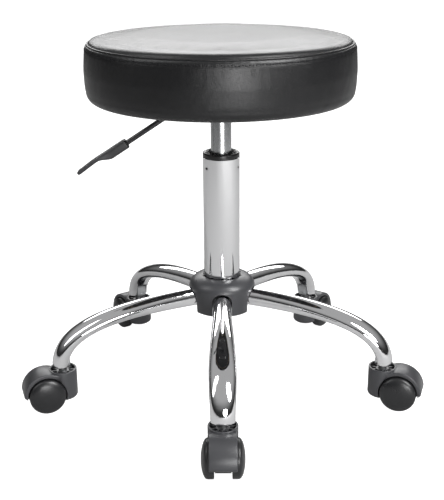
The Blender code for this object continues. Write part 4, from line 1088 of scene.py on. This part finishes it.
bolt_low, bolt_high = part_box("seat_bolt_1")
bolt = bolt_solid(bolt_low.z, bolt_high.z)
for number in range(4):
    low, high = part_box(f"seat_bolt_{number + 1}")
    place = Matrix.Translation(((low.x + high.x) / 2, (low.y + high.y) / 2, 0))
    name = f"seat_bolt_{number + 1}"
    piece(f"{name}_hex", bolt.copy(), zinc, "seat", "zinc_steel", name, place=place)


# Release lever
# A 7 mm black steel rod, pressed flat where it rocks on its cross pin over the valve's push pin, and
# bent down to the left. A grey moulded grip is pushed on its end and thins to a finger tongue.
ROD_RADIUS = 0.0035
FALL = math.radians(33.2)
BEND_X = -0.0420
BEND_RADIUS = 0.0060
GRIP_X = -0.1265
ROD_IN_GRIP = 0.0260
GRIP_LENGTH = 0.0420
GRIP_HEIGHT = 0.0135
GRIP_WIDTH = 0.0150
TONGUE_LENGTH = 0.0380
TONGUE_HEIGHT = 0.0055
TONGUE_WIDTH = 0.0180
TONGUE_TIP_DROP = 0.0015
GRIP_SQUARE = 0.50
GRIP_LEAD = 0.018
GRIP_NOSE = 0.06
GRIP_EDGE = 0.0011
ROD_FLAT_BACK = 0.0105
ROD_FLAT_FRONT = 0.0040
ROD_FLAT_HALF = (0.0035, 0.0040)
GRIP_PLASTIC = (0.040, 0.040, 0.043)
AHEAD = Vector((-math.cos(FALL), 0, -math.sin(FALL)))
RISE = Vector((-math.sin(FALL), 0, math.cos(FALL)))
BEND = Vector((BEND_X, 0, lever_height))
MOUTH = BEND + AHEAD * (BEND_X - GRIP_X) / math.cos(FALL)


def round_station(point, ahead, radius):
    return station(point, ahead, radius, radius)


def rod_solid():
    """The rod, its flat end and its pin hole."""
    stations = [round_station(Vector((pivot_x - 0.005, 0, lever_height)), Vector((-1, 0, 0)), ROD_RADIUS)]
    for step in range(13):
        share = step / 12
        one, other = BEND + Vector((BEND_RADIUS * (1 - share), 0, 0)), BEND + AHEAD * BEND_RADIUS * share
        ahead = Vector((-1, 0, 0)).lerp(AHEAD, share).normalized()
        stations.append(round_station(one.lerp(other, share), ahead, ROD_RADIUS))
    stations.append(round_station(MOUTH + AHEAD * ROD_IN_GRIP, AHEAD, ROD_RADIUS))
    rod = round_edges(swept(stations, 40), 0.0004, 60)
    half_width, half_height = ROD_FLAT_HALF
    flat = round_edges(box_solid(
        (pivot_x - ROD_FLAT_BACK, -half_width, lever_height - half_height),
        (ROD_FLAT_FRONT, half_width, lever_height + half_height)), 0.0010)
    return carved(rod, joined=[flat], cut=[bar(0.00206, 0.024, across_y(pivot_x, lever_height), 32)])


def grip_station(share):
    """One ring of the grip: its top edge runs straight while its belly thins to the tongue."""
    body = GRIP_LENGTH / (GRIP_LENGTH + TONGUE_LENGTH)
    start, end = body * 0.62, body * 1.12
    part = (share - start) / (end - start)
    height = soft_step(GRIP_HEIGHT, TONGUE_HEIGHT, part)
    width = soft_step(GRIP_WIDTH, TONGUE_WIDTH, part)
    lift = (GRIP_HEIGHT - height) / 2 - TONGUE_TIP_DROP * soft_step(0.0, 1.0, (share - end) / (1 - end))
    nose = 1 - max((share - 1 + GRIP_NOSE) / GRIP_NOSE, 0.0) ** 2
    shrink = math.sqrt(max(nose, 0.0)) * 0.75 + 0.25
    mouth = min(share / GRIP_LEAD, 1.0)
    inset = GRIP_EDGE * (1 - math.sqrt(max(1 - (1 - mouth) ** 2, 0.0)))
    point = MOUTH + AHEAD * (GRIP_LENGTH + TONGUE_LENGTH) * share + RISE * lift
    return station(point, AHEAD, height / 2 * shrink - inset, width / 2 * shrink - inset)


def grip_solid():
    body = 1 - GRIP_LEAD - GRIP_NOSE
    shares = [GRIP_LEAD * step / 5 for step in range(5)]
    shares += [GRIP_LEAD + body * step / 50 for step in range(51)]
    shares += [1 - GRIP_NOSE + GRIP_NOSE * step / 8 for step in range(1, 9)]
    grip = swept([grip_station(share) for share in shares], 56, square=GRIP_SQUARE)
    hole = bar(ROD_RADIUS + 0.0003, ROD_IN_GRIP + 0.0103, Matrix.Identity(4), 40)
    turn = AHEAD.to_track_quat("Z", "Y").to_matrix().to_4x4()
    middle = MOUTH + AHEAD * (ROD_IN_GRIP - 0.0097) / 2
    bmesh.ops.transform(hole, matrix=Matrix.Translation(middle) @ turn, verts=hole.verts)
    return round_edges(carved(grip, cut=[hole]), 0.0003, 55, 1)


piece("lever_rod_bar", rod_solid(), black_paint, "lever", "black_paint", "lever_rod")
grip_plastic = make_nylon("grip_plastic", GRIP_PLASTIC, 0.36, 1500)
piece("lever_grip", grip_solid(), grip_plastic, "lever", "grip_plastic", "lever_handle", smooth=35)
repaint(zinc, "lever_pin")


# Seat board
# A disc of 12 mm plywood, drilled for the four bolts, that the foam and the cover are fixed to. Its
# faces show long grain and its edge the plies; the cover and the dust cloth hide it in use.
PLY_DARK = (0.30, 0.19, 0.10)
PLY_LIGHT = (0.58, 0.43, 0.27)


def make_plywood():
    """Birch ply: long grain in stretched noise."""
    material, tree, shader = new_finish("plywood", PLY_LIGHT)
    place = tree.nodes.new("ShaderNodeTexCoord").outputs["Object"]
    mapping = tree.nodes.new("ShaderNodeMapping")
    mapping.inputs["Scale"].default_value = (4.0, 70.0, 300.0)
    join(tree, (place, mapping.inputs["Vector"]))
    grain = noise_node(tree, mapping.outputs["Vector"], 2.2, 6.0, 0.65)
    dark, light = tree.nodes.new("ShaderNodeRGB"), tree.nodes.new("ShaderNodeRGB")
    dark.outputs[0].default_value = (*PLY_DARK, 1)
    light.outputs[0].default_value = (*PLY_LIGHT, 1)
    mixed = mix_colours(tree, grain, dark.outputs[0], light.outputs[0])
    join(tree, (mixed, shader.inputs["Base Color"]))
    vary_gloss(tree, shader, 0.72, 0.10, 30)
    add_bump(tree, shader, grain, 0.0002, 0.4)
    return material


repaint(make_plywood(), "seat_board")


# Seat cushion
# A round foam cushion in a black vinyl cover: a flat top panel and a side band sewn together at a
# piped seam, topstitched once round the band, and pulled under the board, where it is stapled.
SEAM_INSET = 0.0062
SEAM_DROP = 0.0090
TOP_FLAT_RADIUS = 0.0700
FOOT_INSET = 0.0014
FOOT_ROUND = 0.0125
FOOT_DROP = 0.0024
WRAP_ROWS = 6
WRAP_REACH = 0.0265
COVER_SKIN = 0.0016
SKIN_STEPS = 400
SKIN_PROBE = 0.012
PAD_INSET = 0.0023
BOARD_GAP = 0.0003
PAD_VOXEL = 0.0050
PAD_FRAMES = 20
PAD_PRESSURE = 4.0
PAD_CAP = 0.0030
PAD_SEAM_WIDTH = 0.0035
PAD_SEAM_HEIGHT = 0.0045
PAD_FOOT_HEIGHT = 0.0060
PAD_FOOT_REACH = 0.0030
GROOVE_WIDTH = 0.0013
GROOVE_DEPTH = 0.0009
STITCH_DROP = 0.0064
STITCH_DENT = 0.0004
STITCH_DENT_WIDTH = 0.0009
PUCKER_COUNT = 110
PUCKER_RISE = 0.00022
PUCKER_REACH = 0.010
CREASE_RISE = 0.00036
CREASE_START = 0.012
PIPING_RADIUS = 0.0014
STITCH_PITCH = 0.0041
STITCH_LENGTH = 0.0029
STITCH_RADIUS = 0.00062
BLACK_VINYL = (0.0060, 0.0060, 0.0066)
FOAM_YELLOW = (0.70, 0.61, 0.40)
seat_low, seat_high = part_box("seat_cover")
seat_radius = (seat_high.x - seat_low.x) / 2
seam_radius = seat_radius - SEAM_INSET
seam_height = seat_high.z - SEAM_DROP
foot_radius = seat_radius - FOOT_INSET - FOOT_ROUND
foot_height = seat_low.z - FOOT_DROP
wrap_radius = seat_radius - WRAP_REACH


def outline_spline(points, spacing):
    """A smooth line through some points, in steps of about the spacing."""
    line = []
    padded = [points[0] * 2 - points[1], *points, points[-1] * 2 - points[-2]]
    for a, b, c, d in zip(padded, padded[1:], padded[2:], padded[3:]):
        count = max(1, round((c - b).length / spacing))
        for step in range(count):
            t = step / count
            line.append(0.5 * (2 * b + (c - a) * t + (2 * a - 5 * b + 4 * c - d) * t**2
                               + (3 * b - a - 3 * c + d) * t**3))
    return [*line, points[-1]]


def top_line(inset):
    """From the middle of the top panel out to the seam, slightly crowned."""
    top = seat_high.z - inset
    seam = seam_radius - inset
    return outline_spline([
        Vector((0, top)), Vector((TOP_FLAT_RADIUS, top)),
        Vector(((TOP_FLAT_RADIUS + seam_radius) / 2, top - SEAM_DROP * 0.13)),
        Vector((seam - SEAM_DROP, top - SEAM_DROP * 0.38)), Vector((seam, top - SEAM_DROP)),
    ], 0.0040)


def side_line(inset):
    """From the seam down the bulging band, round the foot and under the board."""
    side, seam = seat_radius - inset, seam_radius - inset
    middle = (seam_height + seat_low.z) / 2
    line = outline_spline([
        Vector((seam, seam_height - inset)),
        Vector((side - SEAM_INSET * 0.35, seam_height - SEAM_DROP * 0.6)),
        Vector((side, middle + SEAM_INSET)), Vector((side, middle - SEAM_INSET)),
        Vector((side - FOOT_INSET * 0.4, foot_height + FOOT_ROUND * 1.5)),
        Vector((foot_radius + FOOT_ROUND - inset, foot_height + FOOT_ROUND)),
    ], 0.0020)
    round_foot = arc_points((foot_radius, foot_height + FOOT_ROUND), FOOT_ROUND - inset, 0, -90, 12)
    return line + [Vector(point) for point in round_foot[1:]]


def make_foam():
    """Open-cell foam: a pale yellow skin full of small pores."""
    material, tree, shader = new_finish("moulded_foam", FOAM_YELLOW, drift=0.10, drift_scale=25)
    vary_gloss(tree, shader, 0.92, 0.05, 40)
    speck = use_group(tree, SPECK, Scale=900)
    add_bump(tree, shader, speck.outputs["Height"], 0.0006, 0.8)
    return material


def swell_pad():
    """Swell the foam in its seams: cloth with pressure, held at the seam and under the board."""
    profile = [*top_line(PAD_INSET), *side_line(PAD_INSET)[1:], Vector((0, seat_low.z + PAD_INSET))]
    bm = turned([tuple(point) for point in profile], steps=160)
    mesh = bpy.data.meshes.new("pad")
    bm.to_mesh(mesh)
    bm.free()
    pad = bpy.data.objects.new("pad", mesh)
    bpy.context.scene.collection.objects.link(pad)
    remesh = pad.modifiers.new("remesh", "REMESH")
    remesh.mode = "VOXEL"
    remesh.voxel_size = PAD_VOXEL
    bpy.context.view_layer.update()
    fine = bpy.data.meshes.new_from_object(pad.evaluated_get(bpy.context.evaluated_depsgraph_get()))
    pad.modifiers.clear()
    pad.data = fine
    start = [vert.co.copy() for vert in fine.vertices]
    held = pad.vertex_groups.new(name="held")
    for vert in fine.vertices:
        across, height = vert.co.xy.length, vert.co.z
        beside = abs(across - seam_radius + PAD_INSET) < PAD_SEAM_WIDTH
        level = abs(height - seam_height + PAD_INSET) < PAD_SEAM_HEIGHT
        under = height < seat_low.z + PAD_FOOT_HEIGHT and across < foot_radius + PAD_FOOT_REACH
        if beside and level or under:
            held.add([vert.index], 1.0, "REPLACE")
    cloth = pad.modifiers.new("cloth", "CLOTH")
    cloth.settings.vertex_group_mass = "held"
    cloth.settings.use_pressure = True
    cloth.settings.uniform_pressure_force = PAD_PRESSURE
    cloth.settings.effector_weights.gravity = 0.0
    for frame_number in range(1, PAD_FRAMES + 1):
        bpy.context.scene.frame_set(frame_number)
    swollen = pad.evaluated_get(bpy.context.evaluated_depsgraph_get()).data
    moved = [vert.co.copy() for vert in swollen.vertices]
    pad.modifiers.clear()
    for vert, before, after in zip(fine.vertices, start, moved):
        step = after - before
        if step.length > PAD_CAP:
            step *= PAD_CAP / step.length
        vert.co = before + step
    bpy.context.scene.frame_set(1)
    smooth = pad.modifiers.new("smooth", "SUBSURF")
    smooth.levels = 1
    smooth.render_levels = 1
    bpy.context.view_layer.update()
    shape = bmesh.new()
    shape.from_object(pad, bpy.context.evaluated_depsgraph_get())
    bpy.data.objects.remove(pad)
    return shape


def outward(co, normal, tree):
    """How far the cover's outside lies from a point, out along its normal: the foam and one skin."""
    hit = tree.ray_cast(co - normal * SKIN_PROBE, normal, 2.5 * SKIN_PROBE)
    reach = (hit[0] - co).dot(normal) + COVER_SKIN if hit[0] else 0.0
    return max(reach, COVER_SKIN - PAD_INSET)


def band_creases(co):
    """Shallow creases that hang from the seam and slant across the band."""
    angle = math.atan2(co.y, co.x)
    along = angle * seat_radius
    fall = seam_height - co.z
    slant = Vector((along * 62 + fall * 34, fall * 24, 3.0))
    broad = noise.noise(slant * 0.42)
    fine = noise.noise(slant * 1.5 + Vector((9.0, 4.0, 1.0)))
    pucker = math.cos(PUCKER_COUNT * angle + 2.0 * noise.noise(Vector((angle * 6, 0, 0))))
    near_seam = math.exp(-max(fall, 0) / PUCKER_REACH)
    hold = min(max(fall / CREASE_START, 0.0), 1.0)
    return CREASE_RISE * hold * (0.75 * broad + 0.35 * fine) + PUCKER_RISE * pucker * near_seam


def top_waves(co):
    """The top panel's very slight unevenness over the foam."""
    return 0.00016 * noise.noise(Vector((co.x * 17, co.y * 17, 1.0))) + 0.00005 * noise.noise(co * 60)


def seam_dents(co):
    """How far the skin is drawn in by the seam and by the row of stitches under it."""
    reach = Vector((co.xy.length - seam_radius, co.z - seam_height)).length
    dent = GROOVE_DEPTH * math.exp(-((reach / GROOVE_WIDTH) ** 2))
    row = (seam_height - co.z - STITCH_DROP) / STITCH_DENT_WIDTH
    return dent + STITCH_DENT * math.exp(-row * row)


def skin_of_cover(tree):
    """The cover's outer skin, laid on the swollen foam, with its seam, stitch row and creases."""
    profile = [*top_line(0), *side_line(0)[1:]]
    for step in range(1, WRAP_ROWS + 1):
        share = step / WRAP_ROWS
        profile.append(Vector((
            foot_radius + (wrap_radius - foot_radius) * share, soft_step(foot_height, seat_low.z, share))))
    bm = turned([tuple(point) for point in profile], steps=SKIN_STEPS)
    bm.normal_update()
    if sum(face.normal.z for face in bm.faces if face.calc_center_median().xy.length < 0.05) < 0:
        bmesh.ops.reverse_faces(bm, faces=bm.faces)
        bm.normal_update()
    moves = {}
    for vert in bm.verts:
        co, normal = vert.co.copy(), vert.normal.copy()
        hold = soft_step(0, 1, (co.xy.length - foot_radius) / FOOT_ROUND) if co.z < seam_height else 1.0
        top = co.z > seam_height and co.xy.length < seam_radius - 0.001
        detail = top_waves(co) if top else band_creases(co)
        moves[vert.index] = normal * (hold * (outward(co, normal, tree) + detail) - seam_dents(co))
    for vert in bm.verts:
        vert.co += moves[vert.index]
    return bm


def make_vinyl():
    """Soft-grained upholstery vinyl: small flat cells with fine valleys, glossier on the cells."""
    material, tree, shader = new_finish("black_vinyl", BLACK_VINYL, drift=0.25, drift_scale=9)
    place = tree.nodes.new("ShaderNodeTexCoord").outputs["Object"]
    bend = tree.nodes.new("ShaderNodeTexNoise")
    bend.inputs["Scale"].default_value = 260
    bend.inputs["Detail"].default_value = 2.0
    push = tree.nodes.new("ShaderNodeVectorMath")
    push.operation = "SCALE"
    push.inputs["Scale"].default_value = 0.0022
    shift = tree.nodes.new("ShaderNodeVectorMath")
    join(
        tree, (place, bend.inputs["Vector"]), (bend.outputs["Color"], push.inputs[0]),
        (place, shift.inputs[0]), (push.outputs["Vector"], shift.inputs[1]),
    )
    cells = tree.nodes.new("ShaderNodeTexVoronoi")
    cells.feature = "DISTANCE_TO_EDGE"
    cells.inputs["Scale"].default_value = 760
    join(tree, (shift.outputs["Vector"], cells.inputs["Vector"]))
    valley = tree.nodes.new("ShaderNodeMapRange")
    valley.inputs["From Max"].default_value = 0.16
    join(tree, (cells.outputs["Distance"], valley.inputs["Value"]))
    wrinkle = noise_node(tree, place, 150.0, 5.0, 0.62)
    height = math_node(
        tree, "ADD", math_node(tree, "MULTIPLY", valley.outputs["Result"], 0.6),
        math_node(tree, "MULTIPLY", wrinkle, 1.3))
    add_bump(tree, shader, height, 0.00022, 0.36)
    handling = use_group(tree, HANDLING, Scale=14, Roughness=0.29, Amount=0.05)
    dull = math_node(tree, "MULTIPLY", math_node(tree, "SUBTRACT", 1.0, valley.outputs["Result"]), 0.08)
    join(tree, (math_node(tree, "ADD", handling.outputs["Roughness"], dull), shader.inputs["Roughness"]))
    shader.inputs["Specular IOR Level"].default_value = 0.45
    return material


def make_thread():
    """Black nylon thread, twisted and dull."""
    material, tree, shader = new_finish("black_thread", (0.010, 0.010, 0.011), drift=0.3, drift_scale=400)
    vary_gloss(tree, shader, 0.80, 0.12, 300)
    shader.inputs["Specular IOR Level"].default_value = 0.2
    speck = use_group(tree, SPECK, Scale=3500)
    add_bump(tree, shader, speck.outputs["Height"], 0.0001, 0.6)
    return material


vinyl = make_vinyl()
thread = make_thread()
board_low, board_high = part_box("seat_board")
foam = swell_pad()
cover_skin = skin_of_cover(BVHTree.FromBMesh(foam))
board_room = bar(
    (board_high.x - board_low.x) / 2 + BOARD_GAP, 2 * (board_high.z + BOARD_GAP - seat_low.z),
    Matrix.Translation((0, 0, seat_low.z)), sides=128,
)
foam = carved(foam, cut=[board_room])
block = piece("seat_foam_block", foam, make_foam(), "seat", "foam", "seat_foam", smooth=60)
skin_tree = BVHTree.FromBMesh(cover_skin)
cover_shell = through_modifiers(
    cover_skin, ("SOLIDIFY", {"thickness": COVER_SKIN, "offset": -1.0, "use_even_offset": True}))
cushion = piece("seat_cushion_cover", cover_shell, vinyl, "seat", "vinyl", "seat_cover", smooth=60)


def on_skin(radius, height, angle):
    """The point of the cover's skin nearest a point of a ring, and the skin's normal there."""
    start = Vector((radius * math.cos(angle), radius * math.sin(angle), height))
    found, normal, _, _ = skin_tree.find_nearest(start)
    return found, normal


def piping_ring():
    """The piping: a covered cord that follows the seam round the cushion, a little proud of it."""
    bm = bmesh.new()
    section = bmesh.ops.create_circle(bm, segments=12, radius=PIPING_RADIUS, cap_ends=False)
    bmesh.ops.rotate(bm, verts=section["verts"], matrix=Matrix.Rotation(math.pi / 2, 3, "X"))
    bmesh.ops.translate(bm, verts=section["verts"], vec=(seam_radius, 0, seam_height))
    bmesh.ops.spin(
        bm, geom=bm.verts[:] + bm.edges[:], cent=(0, 0, 0), axis=(0, 0, 1),
        angle=math.tau, steps=SKIN_STEPS, use_merge=True,
    )
    bmesh.ops.remove_doubles(bm, verts=bm.verts, dist=1e-6)
    bmesh.ops.recalc_face_normals(bm, faces=bm.faces)
    for vert in bm.verts:
        angle = math.atan2(vert.co.y, vert.co.x)
        found, normal = on_skin(seam_radius, seam_height, angle)
        middle = Vector((seam_radius * math.cos(angle), seam_radius * math.sin(angle), seam_height))
        vert.co += found + normal * PIPING_RADIUS * 0.25 - middle
    return bm


def stitch_row():
    """One ring of topstitches, each a short thread sunk a little into the vinyl."""
    bm = bmesh.new()
    count = round(math.tau * seat_radius / STITCH_PITCH)
    for number in range(count):
        angle = math.tau * number / count
        found, normal = on_skin(seat_radius, seam_height - STITCH_DROP, angle)
        along = Vector((-math.sin(angle), math.cos(angle), 0))
        up = normal.cross(along)
        turn = Matrix((normal, up, along)).transposed().to_4x4()
        stitch = bmesh.new()
        bmesh.ops.create_icosphere(stitch, subdivisions=1, radius=1.0)
        scale = Matrix.Diagonal((STITCH_RADIUS, STITCH_RADIUS, STITCH_LENGTH / 2, 1))
        place = Matrix.Translation(found + normal * STITCH_RADIUS * 0.3) @ turn @ scale
        bmesh.ops.transform(stitch, matrix=place, verts=stitch.verts)
        shape = bpy.data.meshes.new("stitch")
        stitch.to_mesh(shape)
        stitch.free()
        bm.from_mesh(shape)
        bpy.data.meshes.remove(shape)
    return bm


piece("seat_piping", piping_ring(), vinyl, "seat", "vinyl", smooth=60)
piece("seat_topstitch", stitch_row(), thread, "seat", "vinyl", smooth=80)


# Dust cloth
# A disc of thin black spunbond cloth stapled under the board over the cover's edge. It is cut out
# for the lift plate's pocket and hangs a hair lower between its staples.
CLOTH_THICKNESS = 0.0005
CLOTH_RADIUS = 0.1499
CLOTH_SAG = 0.0005
CLOTH_INNER_RING = 0.004
CLOTH_RINGS = 36
CLOTH_BLACK = (0.020, 0.020, 0.021)
cloth_low, cloth_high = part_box("dust_cover")


def make_dust_cloth():
    """Spunbond: matted fibres and a grid of small pressed points."""
    material, tree, shader = new_finish("dust_cloth", CLOTH_BLACK, drift=0.3, drift_scale=60)
    place = tree.nodes.new("ShaderNodeTexCoord").outputs["Object"]
    points = tree.nodes.new("ShaderNodeTexVoronoi")
    points.inputs["Scale"].default_value = 600
    points.inputs["Randomness"].default_value = 0.25
    join(tree, (place, points.inputs["Vector"]))
    fibres = noise_node(tree, place, 900.0, 5.0, 0.7)
    height = math_node(tree, "ADD", math_node(tree, "MULTIPLY", points.outputs["Distance"], 0.7), fibres)
    add_bump(tree, shader, height, 0.0002, 0.7)
    vary_gloss(tree, shader, 0.88, 0.06, 80)
    return material


def cloth_disc():
    """The cloth, window cut out, as a thin closed sheet."""
    middle = (cloth_low.z + cloth_high.z) / 2
    bm = bmesh.new()
    rows = [CLOTH_INNER_RING + (CLOTH_RADIUS - CLOTH_INNER_RING) * step / CLOTH_RINGS
            for step in range(CLOTH_RINGS + 1)]
    verts = [bm.verts.new((radius, 0, middle)) for radius in [0, *rows]]
    edges = [bm.edges.new(pair) for pair in zip(verts, verts[1:])]
    bmesh.ops.spin(
        bm, geom=verts + edges, cent=(0, 0, 0), axis=(0, 0, 1), angle=math.tau, steps=144, use_merge=True)
    bmesh.ops.remove_doubles(bm, verts=bm.verts, dist=1e-6)
    for vert in bm.verts:
        reach = vert.co.xy.length / CLOTH_RADIUS
        wave = noise.noise(Vector((vert.co.x * 26, vert.co.y * 26, 5.0)))
        vert.co.z -= CLOTH_SAG * max(wave, -0.2) * (1 - reach ** 6) * 0.3
    for axis, half in (("x", POCKET_HALF_X), ("y", POCKET_HALF_Y)):
        for sign in (-1, 1):
            point = Vector((sign * half if axis == "x" else 0, sign * half if axis == "y" else 0, 0))
            sliced(bm, point, point.normalized())
    middles = [(face, face.calc_center_median()) for face in bm.faces]
    gone = [face for face, spot in middles if abs(spot.x) < POCKET_HALF_X and abs(spot.y) < POCKET_HALF_Y]
    bmesh.ops.delete(bm, geom=gone, context="FACES")
    bmesh.ops.recalc_face_normals(bm, faces=bm.faces)
    return through_modifiers(bm, ("SOLIDIFY", {"thickness": CLOTH_THICKNESS, "offset": 0.0}))


cloth = piece("dust_cloth_disc", cloth_disc(), make_dust_cloth(), "seat", "dust_cloth", "dust_cover")
